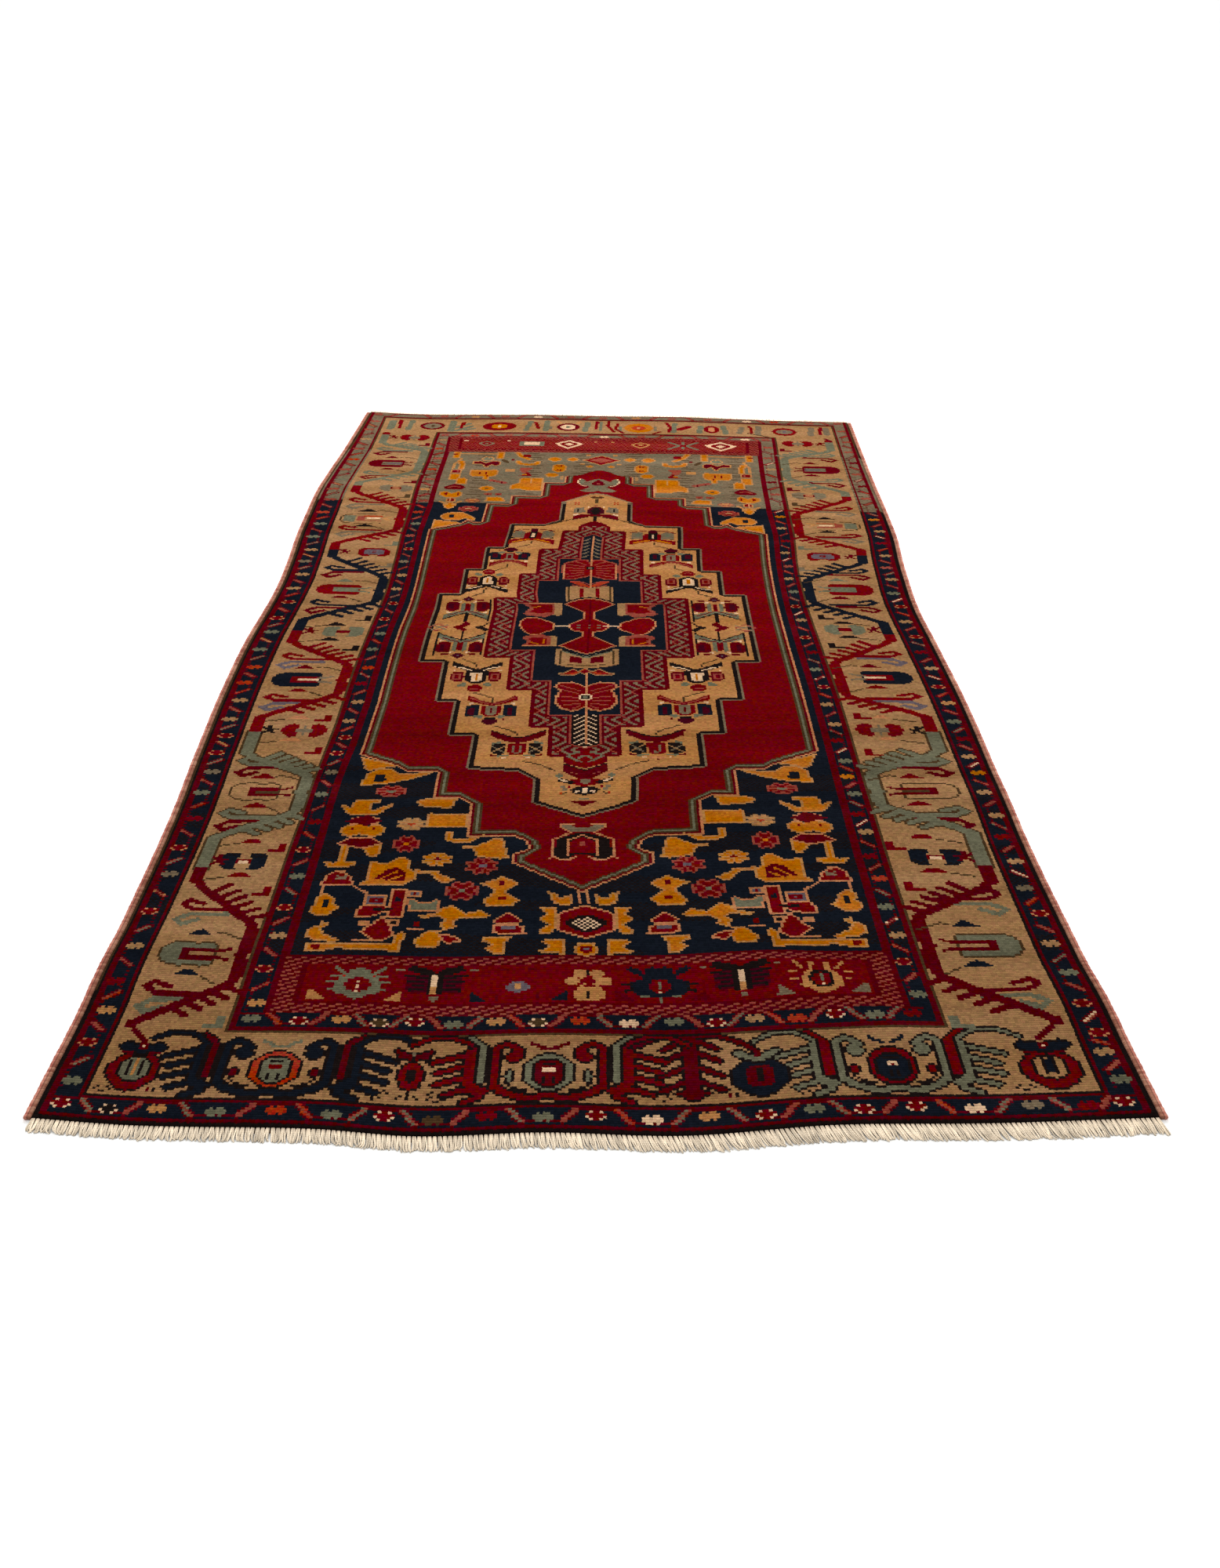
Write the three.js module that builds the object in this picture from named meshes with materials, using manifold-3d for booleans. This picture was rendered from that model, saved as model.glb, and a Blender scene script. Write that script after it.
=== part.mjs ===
// A hand-knotted village rug lying flat: a slab of wool pile on its woven foundation, an overcast
// selvedge along each long side, and at each end a narrow strip of warps that carries the fringe.
// Units are millimetres. X runs across the rug, Y along it to the far end, Z up from the floor.
import * as THREE from "three";
import Module from "manifold-3d";

const wasm = await Module();
wasm.setup();

// Driving dimensions
const HALF_WIDTH = 650; // half of selvedge to selvedge, before the sides wander
const HALF_LENGTH = 1300; // half of pile end to pile end
const THICKNESS = 9; // foundation and pile together
const RIM_THICKNESS = 6.5; // where the pile rounds over at its edge
const RIM_WIDTH = 4; // how far in from its edge the pile stands at full height
const SELVEDGE_WIDTH = 10;
const CLEARANCE = 0.3; // between neighbouring pieces
const STRIP_DEPTH = 5; // the strip of bare warps, from the pile outwards
const STRIP_HEIGHT = 2.6;
const STRANDS = 130; // locks of fringe at each end
const STRAND_WIDTH = 5.5;
const STRAND_HEIGHT = 2.2;
const STRAND_LENGTH = 21; // from the strip's outer edge to the tip
const STRAND_ROOT = 2; // how far a lock reaches into the strip
const STRAND_CREST = 0.6; // a lock's top is this share of its bottom's width
const TIP_SHARE = 0.45; // a lock's tip is this share of its root's size
const LENGTH_SPREAD = 0.16; // locks are this much longer or shorter than the rest
const LEAN_SPREAD = 0.1; // and lean this much more or less
const CELLS_ACROSS = 20; // facets of the slab
const CELLS_ALONG = 40;
const END_FADE = 7; // how quickly an end's waves fade into the rug, as a power
const FAR_SKEW = -0.057; // slope by which the far end is out of square, growing from the front
const CENTRE = { x: 15, y: -7 }; // brings the middle of the whole outline to the origin

// How far each long side wanders from straight, along X, at places up the rug
const LEFT_SIDE = [
  { y: -1300, out: -6 },
  { y: -1050, out: -1 },
  { y: -700, out: -4 },
  { y: -500, out: -14 },
  { y: -280, out: -23 },
  { y: -60, out: -24 },
  { y: 110, out: -14 },
  { y: 300, out: -20 },
  { y: 480, out: -30 },
  { y: 770, out: -31 },
  { y: 1000, out: -18 },
  { y: 1300, out: -5 },
];
const RIGHT_SIDE = [
  { y: -1300, out: 2 },
  { y: -1140, out: -5 },
  { y: -1000, out: -13 },
  { y: -700, out: -22 },
  { y: -300, out: -23 },
  { y: -60, out: -31 },
  { y: 117, out: -38 },
  { y: 300, out: -33 },
  { y: 500, out: -19 },
  { y: 900, out: -16 },
  { y: 1300, out: -10 },
];

// How far each end wanders from straight, along Y, at places across the rug
const FRONT_END = [
  { x: -650, out: -2 },
  { x: -520, out: -14 },
  { x: -320, out: -18 },
  { x: -200, out: -29 },
  { x: -60, out: -22 },
  { x: 100, out: -26 },
  { x: 270, out: -8 },
  { x: 450, out: -4 },
  { x: 650, out: 7 },
];
const FAR_END = [
  { x: -650, out: 11 },
  { x: -520, out: -3 },
  { x: -400, out: -1 },
  { x: -200, out: 12 },
  { x: 0, out: 13 },
  { x: 200, out: 19 },
  { x: 320, out: 12 },
  { x: 460, out: 4 },
  { x: 650, out: 3 },
];

// Soft ridges where the rug stands a little off the floor, turned by so many degrees from X
const RIDGES = [
  { x: 284, y: -1060, turn: -30, long: 270, wide: 85, high: 6 },
  { x: -590, y: -1030, turn: 12, long: 190, wide: 100, high: 5 },
  { x: 600, y: -1090, turn: 8, long: 150, wide: 90, high: 4 },
  { x: 560, y: -640, turn: 20, long: 210, wide: 110, high: 4 },
  { x: 150, y: -640, turn: -35, long: 260, wide: 80, high: 4 },
  { x: -560, y: 90, turn: -12, long: 230, wide: 120, high: 4.5 },
  { x: 555, y: 250, turn: 15, long: 240, wide: 130, high: 4 },
  { x: -540, y: 700, turn: 10, long: 260, wide: 130, high: 5 },
  { x: 120, y: 620, turn: 5, long: 330, wide: 110, high: 3.5 },
];

// How the locks of fringe lean sideways, as a slope, at places across the rug
const FRONT_LEAN = [
  { x: -650, lean: 0.15 },
  { x: -400, lean: 0.3 },
  { x: -150, lean: 0.05 },
  { x: 100, lean: 0.45 },
  { x: 300, lean: 0.25 },
  { x: 650, lean: 0.6 },
];
const FAR_LEAN = [
  { x: -650, lean: -0.1 },
  { x: -200, lean: 0.2 },
  { x: 200, lean: -0.15 },
  { x: 650, lean: 0.1 },
];

// A selvedge's section: two wool-wrapped cords side by side, by distance out and height
const SELVEDGE_SECTION = [
  { out: 0, up: 0.6 },
  { out: 1, up: 0 },
  { out: 8.8, up: 0 },
  { out: 10, up: 1.8 },
  { out: 10, up: 4.6 },
  { out: 7.6, up: 6.6 },
  { out: 5, up: 5.4 },
  { out: 2.6, up: 7 },
  { out: 0, up: 5.8 },
];

// A smooth curve through a table's rows: a cubic between neighbours, level beyond the ends
function curve(table, key, value) {
  const last = table.length - 1;
  const slope = (i) => {
    const before = table[Math.max(i - 1, 0)];
    const after = table[Math.min(i + 1, last)];
    return (after[value] - before[value]) / (after[key] - before[key]);
  };
  return (at) => {
    if (at <= table[0][key]) return table[0][value];
    if (at >= table[last][key]) return table[last][value];
    const i = table.findIndex((row) => row[key] > at) - 1;
    const span = table[i + 1][key] - table[i][key];
    const u = (at - table[i][key]) / span;
    const rise = u * u * (3 - 2 * u);
    const bend = span * u * (1 - u) * (slope(i) * (1 - u) - slope(i + 1) * u);
    return table[i][value] * (1 - rise) + table[i + 1][value] * rise + bend;
  };
}

const leftSide = curve(LEFT_SIDE, "y", "out");
const rightSide = curve(RIGHT_SIDE, "y", "out");
const frontEnd = curve(FRONT_END, "x", "out");
const farEnd = curve(FAR_END, "x", "out");

// Where a point of the straight, square rug lies on the real one, seen from above
function place(x, y) {
  const across = (x + HALF_WIDTH) / (2 * HALF_WIDTH);
  const along = (y + HALF_LENGTH) / (2 * HALF_LENGTH);
  const frontWave = frontEnd(x) * (1 - along) ** END_FADE;
  const farWave = farEnd(x) * along ** END_FADE;
  return {
    x: x + leftSide(y) * (1 - across) + rightSide(y) * across + CENTRE.x,
    y: y + frontWave + farWave + FAR_SKEW * x * along + CENTRE.y,
  };
}

// How far the underside stands off the floor at a point of the straight rug
function lift(x, y) {
  let height = 0;
  for (const ridge of RIDGES) {
    const turn = THREE.MathUtils.degToRad(ridge.turn);
    const along = (x - ridge.x) * Math.cos(turn) + (y - ridge.y) * Math.sin(turn);
    const aside = (y - ridge.y) * Math.cos(turn) - (x - ridge.x) * Math.sin(turn);
    const lengthwise = Math.max(0, 1 - (along / ridge.long) ** 2);
    const crosswise = Math.max(0, 1 - (aside / ridge.wide) ** 2);
    height += ridge.high * (lengthwise * crosswise) ** 2;
  }
  return height;
}

// Places from -half to half in even cells, with one more a rim's width inside each end
function stations(half, cells) {
  const inner = Array.from({ length: cells - 1 }, (_, i) => -half + (2 * half * (i + 1)) / cells);
  return [-half, -half + RIM_WIDTH, ...inner, half - RIM_WIDTH, half];
}

const PILE_HALF_WIDTH = HALF_WIDTH - SELVEDGE_WIDTH;
const stationsAcross = stations(PILE_HALF_WIDTH, CELLS_ACROSS);
const stationsAlong = stations(HALF_LENGTH, CELLS_ALONG);

// A closed geometry from points and faces, turned right side out if its faces look inwards
function closed(points, faces) {
  const cross = new THREE.Vector3();
  let volume = 0;
  for (let i = 0; i < faces.length; i += 3) {
    cross.crossVectors(points[faces[i + 1]], points[faces[i + 2]]);
    volume += points[faces[i]].dot(cross);
  }
  const geometry = new THREE.BufferGeometry().setFromPoints(points);
  geometry.setIndex(volume < 0 ? faces.reverse() : faces);
  return geometry;
}

// A solid between rings that all have as many points, with a flat cap on its first and last ring
function loft(rings, section) {
  const count = section.length;
  const faces = [];
  for (let r = 0; r + 1 < rings.length; r++)
    for (let i = 0; i < count; i++) {
      const here = r * count + i;
      const next = r * count + ((i + 1) % count);
      faces.push(here, next, next + count, here, next + count, here + count);
    }
  const lastRing = (rings.length - 1) * count;
  const ringTurn = Math.sign(THREE.ShapeUtils.area(section));
  for (const cap of THREE.ShapeUtils.triangulateShape(section, [])) {
    const capTurn = Math.sign(THREE.ShapeUtils.area(cap.map((i) => section[i])));
    const [a, b, c] = capTurn === ringTurn ? cap : cap.toReversed();
    faces.push(a, c, b, lastRing + a, lastRing + b, lastRing + c);
  }
  return closed(rings.flat(), faces);
}

// The pile on its foundation: a top sheet and a bottom sheet on one grid, joined round the rim
function pileGeometry() {
  const wide = stationsAcross.length;
  const long = stationsAlong.length;
  const sheet = (heightAt) =>
    stationsAlong.flatMap((y, j) =>
      stationsAcross.map((x, i) => {
        const onRim = i === 0 || i === wide - 1 || j === 0 || j === long - 1;
        const spot = place(x, y);
        return new THREE.Vector3(spot.x, spot.y, lift(x, y) + heightAt(onRim));
      }),
    );
  const points = [...sheet(() => 0), ...sheet((onRim) => (onRim ? RIM_THICKNESS : THICKNESS))];
  const above = wide * long;
  const faces = [];
  for (let j = 0; j + 1 < long; j++)
    for (let i = 0; i + 1 < wide; i++) {
      const a = j * wide + i;
      const [b, c, d] = [a + 1, a + 1 + wide, a + wide];
      faces.push(a, c, b, a, d, c);
      faces.push(above + a, above + b, above + c, above + a, above + c, above + d);
    }
  const wall = (a, b) => faces.push(a, b, above + b, a, above + b, above + a);
  for (let i = 0; i + 1 < wide; i++) {
    wall(i, i + 1);
    wall((long - 1) * wide + i + 1, (long - 1) * wide + i);
  }
  for (let j = 0; j + 1 < long; j++) {
    wall((j + 1) * wide, j * wide);
    wall(j * wide + wide - 1, (j + 1) * wide + wide - 1);
  }
  return closed(points, faces);
}

// One selvedge: its section carried along a long side. side is -1 for the left, 1 for the right.
function selvedgeGeometry(side) {
  const stretch = (SELVEDGE_WIDTH - CLEARANCE) / SELVEDGE_WIDTH;
  const edgeX = side * PILE_HALF_WIDTH;
  const rings = stationsAlong.map((y) => {
    const edge = place(edgeX, y);
    return SELVEDGE_SECTION.map(({ out, up }) => {
      const reach = side * (CLEARANCE + out * stretch);
      return new THREE.Vector3(edge.x + reach, edge.y, lift(edgeX, y) + up);
    });
  });
  return loft(rings, SELVEDGE_SECTION.map(({ out, up }) => new THREE.Vector2(out, up)));
}

// The strip of warps at one end, on the pile's own stations. end is -1 at the front, 1 far off.
function stripGeometry(end) {
  const section = [
    new THREE.Vector2(CLEARANCE, 0),
    new THREE.Vector2(STRIP_DEPTH, 0),
    new THREE.Vector2(STRIP_DEPTH, STRIP_HEIGHT),
    new THREE.Vector2(CLEARANCE, STRIP_HEIGHT),
  ];
  const rings = stationsAcross.map((x) => {
    const edge = place(x, end * HALF_LENGTH);
    return section.map((p) => new THREE.Vector3(edge.x, edge.y + end * p.x, p.y));
  });
  return loft(rings, section);
}

// A repeatable unevenness between about -1 and 1
function uneven(i) {
  return 0.5 * Math.sin(i * 1.7) + 0.3 * Math.sin(i * 4.1 + 1) + 0.2 * Math.sin(i * 0.37);
}

// One lock of fringe: a four-sided taper lying on the floor, its root inside the strip
function strandGeometry(i, end, lean) {
  const x = -PILE_HALF_WIDTH + ((i + 0.5) * 2 * PILE_HALF_WIDTH) / STRANDS;
  const edge = place(x, end * HALF_LENGTH);
  const length = STRAND_LENGTH * (1 + LENGTH_SPREAD * uneven(i + end * STRANDS));
  const tipShift = length * (lean(x) + LEAN_SPREAD * uneven(3 * i));
  const section = [
    new THREE.Vector2(-STRAND_WIDTH / 2, 0),
    new THREE.Vector2(STRAND_WIDTH / 2, 0),
    new THREE.Vector2((STRAND_CREST * STRAND_WIDTH) / 2, STRAND_HEIGHT),
    new THREE.Vector2((-STRAND_CREST * STRAND_WIDTH) / 2, STRAND_HEIGHT),
  ];
  const ring = (out, size, shift) =>
    section.map(
      (p) =>
        new THREE.Vector3(
          edge.x + shift + p.x * size,
          edge.y + end * (STRIP_DEPTH + out),
          p.y * size,
        ),
    );
  return loft([ring(-STRAND_ROOT, 1, 0), ring(length, TIP_SHARE, tipShift)], section);
}

function toManifold(geometry) {
  const vertProperties = geometry.attributes.position.array;
  const triVerts = new Uint32Array(geometry.index.array);
  return new wasm.Manifold(new wasm.Mesh({ numProp: 3, vertProperties, triVerts }));
}

function toGeometry(solid) {
  const { vertProperties, triVerts } = solid.getMesh();
  const geometry = new THREE.BufferGeometry();
  geometry.setAttribute("position", new THREE.BufferAttribute(vertProperties, 3));
  geometry.setIndex(new THREE.BufferAttribute(triVerts, 1));
  return geometry;
}

// One end's strip with its locks fused to it by their roots
function fringeGeometry(end, leanTable) {
  const lean = curve(leanTable, "x", "lean");
  let whole = toManifold(stripGeometry(end));
  for (let i = 0; i < STRANDS; i++)
    whole = whole.add(toManifold(strandGeometry(i, end, lean)));
  return toGeometry(whole);
}

const woolPile = new THREE.MeshStandardMaterial({ color: 0x7a1218, roughness: 0.95 });
const overcastWool = new THREE.MeshStandardMaterial({ color: 0x9a5a55, roughness: 0.95 });
const cottonWarp = new THREE.MeshStandardMaterial({ color: 0xd8c4a4, roughness: 0.95 });

const rug = new THREE.Group();

function addPiece(name, geometry, material) {
  const mesh = new THREE.Mesh(geometry, material);
  mesh.name = name;
  rug.add(mesh);
}

addPiece("rug_pile", pileGeometry(), woolPile);
addPiece("selvedge_left", selvedgeGeometry(-1), overcastWool);
addPiece("selvedge_right", selvedgeGeometry(1), overcastWool);
addPiece("fringe_front", fringeGeometry(-1, FRONT_LEAN), cottonWarp);
addPiece("fringe_far", fringeGeometry(1, FAR_LEAN), cottonWarp);

export default rug;
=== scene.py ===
# %% [markdown]
# # Anatolian rug
# This notebook dresses the imported model of a long hand-knotted village rug. The rug lies flat on a
# pale floor. It has a knotted wool pile with a stepped medallion, a wrapped selvedge along each
# side and a short fringe at each end.
#
# Its box is kept.

# %% Load the imported rug
import bpy
import numpy as np
from mathutils import Matrix


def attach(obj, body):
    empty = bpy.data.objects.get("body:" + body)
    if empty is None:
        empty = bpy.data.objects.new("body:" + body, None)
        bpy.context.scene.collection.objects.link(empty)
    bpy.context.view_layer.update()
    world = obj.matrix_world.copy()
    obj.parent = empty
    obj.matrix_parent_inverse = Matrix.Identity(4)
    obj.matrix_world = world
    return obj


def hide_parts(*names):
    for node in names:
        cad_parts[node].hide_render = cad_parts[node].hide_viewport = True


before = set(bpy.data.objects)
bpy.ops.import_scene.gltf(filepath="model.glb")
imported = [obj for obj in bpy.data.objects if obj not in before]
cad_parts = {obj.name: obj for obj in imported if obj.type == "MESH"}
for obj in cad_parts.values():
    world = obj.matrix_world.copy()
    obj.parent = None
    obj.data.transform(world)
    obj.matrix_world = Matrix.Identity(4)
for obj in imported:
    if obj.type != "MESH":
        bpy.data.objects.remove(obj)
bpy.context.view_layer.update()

# %% [markdown]
# The camera stands low in front of the rug. Its place, tilt and lens come from a fit to the rug's
# four corners. A camera looks along its own minus Z, so its axes are built from the direction of
# view, and a small roll is turned in afterwards. An alternative is to aim the camera with a
# constraint, but plain numbers stay exact.

# %% Camera
CAMERA_PLACE = (0.03219, -2.51808, 1.19281)
PITCH, YAW, ROLL = np.radians([31.466, 0.2025, 0.130])


def camera_axes(pitch, yaw, roll):
    """Right, up and back. Forward is level, turned by the yaw to the left and dipped by the pitch."""
    level = np.array([-np.sin(yaw), np.cos(yaw), 0.0])
    forward = level * np.cos(pitch) - np.array([0, 0, np.sin(pitch)])
    right = np.array([np.cos(yaw), np.sin(yaw), 0.0])
    up = np.cross(right, forward)
    rolled_right = right * np.cos(roll) + up * np.sin(roll)
    rolled_up = up * np.cos(roll) - right * np.sin(roll)
    return rolled_right, rolled_up, -forward


camera_data = bpy.data.cameras.new("camera")
camera_data.sensor_width = 36
camera_data.lens = 33.291
camera_data.clip_end = 200
camera_data.dof.use_dof = False
camera = bpy.data.objects.new("camera", camera_data)
bpy.context.scene.collection.objects.link(camera)
pose = np.eye(4)
pose[:3, :3] = np.column_stack(camera_axes(PITCH, YAW, ROLL))
pose[:3, 3] = CAMERA_PLACE
camera.matrix_world = Matrix(pose.tolist())
bpy.context.scene.camera = camera
print("camera at", CAMERA_PLACE, "lens", camera_data.lens)

# %% [markdown]
# A knotted rug is woven from a chart: a grid with one square for each knot. This one is 320 knots
# wide and 704 rows long, and a knot is 4 mm wide. The chart could be a painted picture, but then no
# motif could be moved or changed by itself. Here it is an array, and each number in it stands for
# one of 16 dyed wools. Columns count from the left side, rows from the front end.

# %% The chart: one small number for each knot
COLUMNS = 320
ROWS = 704
MIDDLE = COLUMNS / 2
WOOLS = [
    "black", "navy", "red", "wine", "beige", "tan", "orange", "sage",
    "grey", "cream", "rose", "coral", "olive", "lilac", "plum", "peach",
]
chart = np.zeros((ROWS, COLUMNS), np.uint8)
across, along = np.meshgrid(np.arange(COLUMNS) + 0.5, np.arange(ROWS) + 0.5)


def wool(name):
    """The number that stands for a wool in the chart."""
    return WOOLS.index(name)


def knots_of(*names):
    """How many knots of the chart are of these wools."""
    return int(np.isin(chart, [wool(name) for name in names]).sum())


print("chart of", ROWS, "rows by", COLUMNS, "columns, in", len(WOOLS), "wools")

# %% [markdown]
# All figures come down to three forms: a straight band, a filled outline, and a line of some width.
# A knot belongs to a form when its middle is inside it, so slanting edges come out as steps, just
# as on the loom. All knots of a small window are tested at once, which is far quicker than a loop.

# %% Bands, polygons and strokes
def band(name, left, front, right, back):
    """Knots from the left column to the right one and from the front row to the back one."""
    chart[front:back, left:right] = wool(name)


def read_pairs(text):
    """Reads 'across,along' pairs, in knots."""
    return np.array([pair.split(",") for pair in text.split()], float)


def polygon_mask(corners):
    """A knot is inside when a ray from its centre crosses the outline an odd number of times."""
    inside = np.zeros(chart.shape, bool)
    low, high = corners.min(axis=0), corners.max(axis=0)
    window = np.s_[max(int(low[1]), 0):int(high[1]) + 2, max(int(low[0]), 0):int(high[0]) + 2]
    x, y = across[window], along[window]
    for (x0, y0), (x1, y1) in zip(corners, np.roll(corners, -1, axis=0)):
        if y0 != y1:
            crosses = (y0 <= y) != (y1 <= y)
            inside[window] ^= crosses & (x < x0 + (y - y0) * (x1 - x0) / (y1 - y0))
    return inside


def stroke_mask(path, width):
    """A knot is inside when its centre is nearer to the path than half the width."""
    inside = np.zeros(chart.shape, bool)
    reach = width / 2
    low, high = path.min(axis=0) - reach, path.max(axis=0) + reach
    window = np.s_[max(int(low[1]), 0):int(high[1]) + 2, max(int(low[0]), 0):int(high[0]) + 2]
    x, y = across[window], along[window]
    ends = path if len(path) > 1 else np.repeat(path, 2, axis=0)
    for (x0, y0), (x1, y1) in zip(ends, ends[1:]):
        dx, dy = x1 - x0, y1 - y0
        run = max(dx * dx + dy * dy, 1e-9)
        t = np.clip(((x - x0) * dx + (y - y0) * dy) / run, 0, 1)
        inside[window] |= np.hypot(x - x0 - t * dx, y - y0 - t * dy) < reach
    return inside


def grown(mask):
    """The mask and every knot beside, above or below it."""
    wide = mask.copy()
    wide[1:] |= mask[:-1]
    wide[:-1] |= mask[1:]
    wide[:, 1:] |= mask[:, :-1]
    wide[:, :-1] |= mask[:, 1:]
    return wide


def shrunk(mask):
    """The mask without the knots at its rim."""
    return ~grown(~mask)


print("a line 10 knots long and 3 wide covers", int(stroke_mask(read_pairs("50,50 60,50"), 3).sum()))

# %% [markdown]
# A weaver knows each motif as a few counted steps, edges it with one dark knot and repeats it
# mirrored. So a motif is written as short lines of text: a wool, then an outline or a path in
# knots. That is easier to read and to change than one long list of points. The small round
# rosettes are all alike, so they are a formula.

# %% Motifs and rosettes
def motif(text, at, size=(1, 1), edge="black", twin=True, swap=None, inside=False):
    """Draws the lines of text one after another round the point at.

    A line is a wool and a polygon, or a wool, a ~width and a path, 0.9 wide if no width is given.
    & adds to the shape above, + goes on with the line above, a minus leaves out the one-knot edge,
    and twin repeats every shape mirrored across. The edge lies round the shape, or on its own
    outermost knots if asked to stay inside. swap names other wools for some of the words.
    """
    swap = swap or {}
    shapes = []
    for line in filter(None, text.replace("\n+", " ").splitlines()):
        word, *rest = line.split()
        width = float(rest.pop(0)[1:] or 0.9) if rest[0][0] == "~" else None
        corners = read_pairs(" ".join(rest))
        mask = np.zeros(chart.shape, bool)
        for side in ((1, -1) if twin else (1,)):
            placed = corners * (side, 1) * size + at
            mask |= polygon_mask(placed) if width is None else stroke_mask(placed, width)
        if word == "&":
            shapes[-1][1] |= mask
        else:
            shapes.append([word, mask])
    for word, mask in shapes:
        if not word.startswith("-"):
            chart[mask if inside else grown(mask)] = wool(edge)
            mask = shrunk(mask) if inside else mask
        word = word.lstrip("-")
        chart[mask] = wool(swap.get(word, word))


def rosette(at, reach, petals, rim, heart):
    """Eight petals in an oval: the edge's radius and the gaps follow the cosine of 8 angles.

    Distances are shares of the reach. The rim is 0.17 thick, and the heart reaches to 0.22.
    """
    x, y = (across - at[0]) / reach[0], (along - at[1]) / reach[1]
    out = np.hypot(x, y)
    wave = np.cos(8 * np.arctan2(y, x) + np.pi)
    edge_of = 0.9 + 0.1 * wave
    chart[out < edge_of] = wool(rim)
    chart[(out < edge_of - 0.17) & ((wave > -0.55) | (out < 0.16))] = wool(petals)
    chart[out < 0.22] = wool(heart)


# %% [markdown]
# From the sides and ends inwards the rug is a row of frames: a dark edge, a guard, a broad beige
# border, a second guard, and the frame of the field. A frame could be four strips. It is simpler to
# lay whole rectangles from the outermost inwards, since each covers the middle of the one before.

# %% Frames from the edge inwards
FRAMES = [
    ("black", 0, 0, 704), ("wine", 1, 1, 703), ("navy", 3, 2, 701), ("wine", 11, 9, 694),
    ("black", 12, 10, 692), ("beige", 13, 11, 691), ("olive", 49, 41, 663), ("wine", 50, 42, 662),
    ("navy", 52, 44, 660), ("wine", 59, 51, 653), ("rose", 61, 52, 652),
]
for name, inset, front, back in FRAMES:
    band(name, inset, front, COLUMNS - inset, back)
for wine_at, black_at in ((2, 0), (316, 318)):
    band("wine", wine_at, 2, wine_at + 2, 702)
    band("black", black_at, 0, black_at + 2, 704)
band("olive", 0, 60, 1, 640)
print("beige knots for the broad border:", knots_of("beige"))

# %% [markdown]
# A guard is a narrow border: small flowers in many wools on navy, and a dark red ribbon that crosses
# over between them. It was woven by eye, and one fixed spacing would look printed. So each flower
# has its own place along the guard and its own wool. A star marks a flower with light dots.

# %% Flowers of the guards and their places
FLOWER = [".##.#.", "######", "######", ".#.##."]
DOTTED = [".o##o.", "o####o", "######", ".o##o."]
OUTER_FRONT = """7 red*, 22 black*, 37 tan, 55 sage, 72 coral, 88 sage, 103 red*, 117 olive,
132 red, 148 sage, 163 red*, 179 cream, 195 tan, 211 red*, 225 sage, 239 red*, 254 red*, 271 cream,
287 grey, 302 red, 312 red*"""
OUTER_LEFT = """16 sage, 34 red*, 50 tan, 64.5 red, 84.5 cream, 105.5 red*, 129.5 grey, 148 red*,
169 red, 189 sage, 206 grey, 222.5 red*, 237 red*, 252.5 cream, 270 cream, 287 coral, 303 coral,
322.5 sage, 342 sage, 358 red*, 376 red*, 394 cream, 414 cream, 432 grey, 449 cream, 468 sage,
487 sage, 505 coral, 524 rose, 542 rose, 562 sage, 582 rose, 602 coral, 624 rose, 644 cream,
664 rose, 682 rose"""
OUTER_RIGHT = """15.5 sage, 29 cream, 38 red*, 52.5 red*, 69 sage, 86 cream, 103.5 red*, 120 grey,
138.5 cream, 155 red, 170 cream, 188 cream, 205 orange, 219 cream, 235 red, 251 sage, 269 tan,
286.5 red*, 305.5 cream, 324.5 red, 342.5 red*, 360.5 cream, 379 red*, 395.5 sage, 413.5 cream,
431 rose, 449.5 cream, 470 red, 490 cream, 510 orange, 528 grey, 546 rose, 568 wine, 590 rose,
612 wine, 634 rose, 656 rose, 680 rose"""
OUTER_FAR = """7 rose, 28 grey, 50 rose, 72 tan, 92 rose, 114 cream, 136 rose, 158 rose, 180 tan,
204 rose, 228 rose, 254 cream, 272 coral, 294 rose, 312 rose"""
INNER_FRONT = """56 sage, 70.5 red*, 84 tan, 96 olive*, 107.5 red*, 119 sage, 132 tan,
144.5 olive*, 158 coral, 173 cream, 186.5 sage, 200 red*, 212 beige, 224.5 coral, 237 red*,
248.5 sage, 261 red"""
INNER_LEFT = """55.5 tan, 73.5 red*, 93 cream, 110.5 red*, 130 sage, 148.5 red*, 168 red, 189 sage,
207 grey, 223 red*, 237 red*, 252.5 cream, 270 cream, 288.5 red, 304.5 coral, 324 sage, 342 sage,
359 red*, 378 red*, 397 cream, 415 cream, 434 grey, 453 red*, 472 rose, 490 sage, 508 coral,
526 rose, 546 tan, 566 rose, 586 coral, 608 rose, 628 coral, 646 cream"""
INNER_RIGHT = """58.5 sage, 76 red*, 91 cream, 108 sage, 126 coral, 141 red, 158 cream, 171 red,
187 sage, 201 orange, 214.5 sage, 232 red, 247 cream, 266 cream, 284 red*, 303 sage, 322 red,
339 red*, 359.5 cream, 377 red*, 395.5 sage, 414.5 cream, 432 rose, 452 cream, 471 red, 492 cream,
512.5 orange, 530 grey, 550 rose, 572 wine, 596 cream, 618 rose, 640 rose"""
INNER_FAR = """56 rose, 76 coral, 98 rose, 120 rose, 140 rose, 160 cream, 184 rose, 208 rose,
230 rose, 251 cream, 264 rose"""
print("flowers in the guards along the left side:", OUTER_LEFT.count(",") + INNER_LEFT.count(",") + 2)


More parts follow.
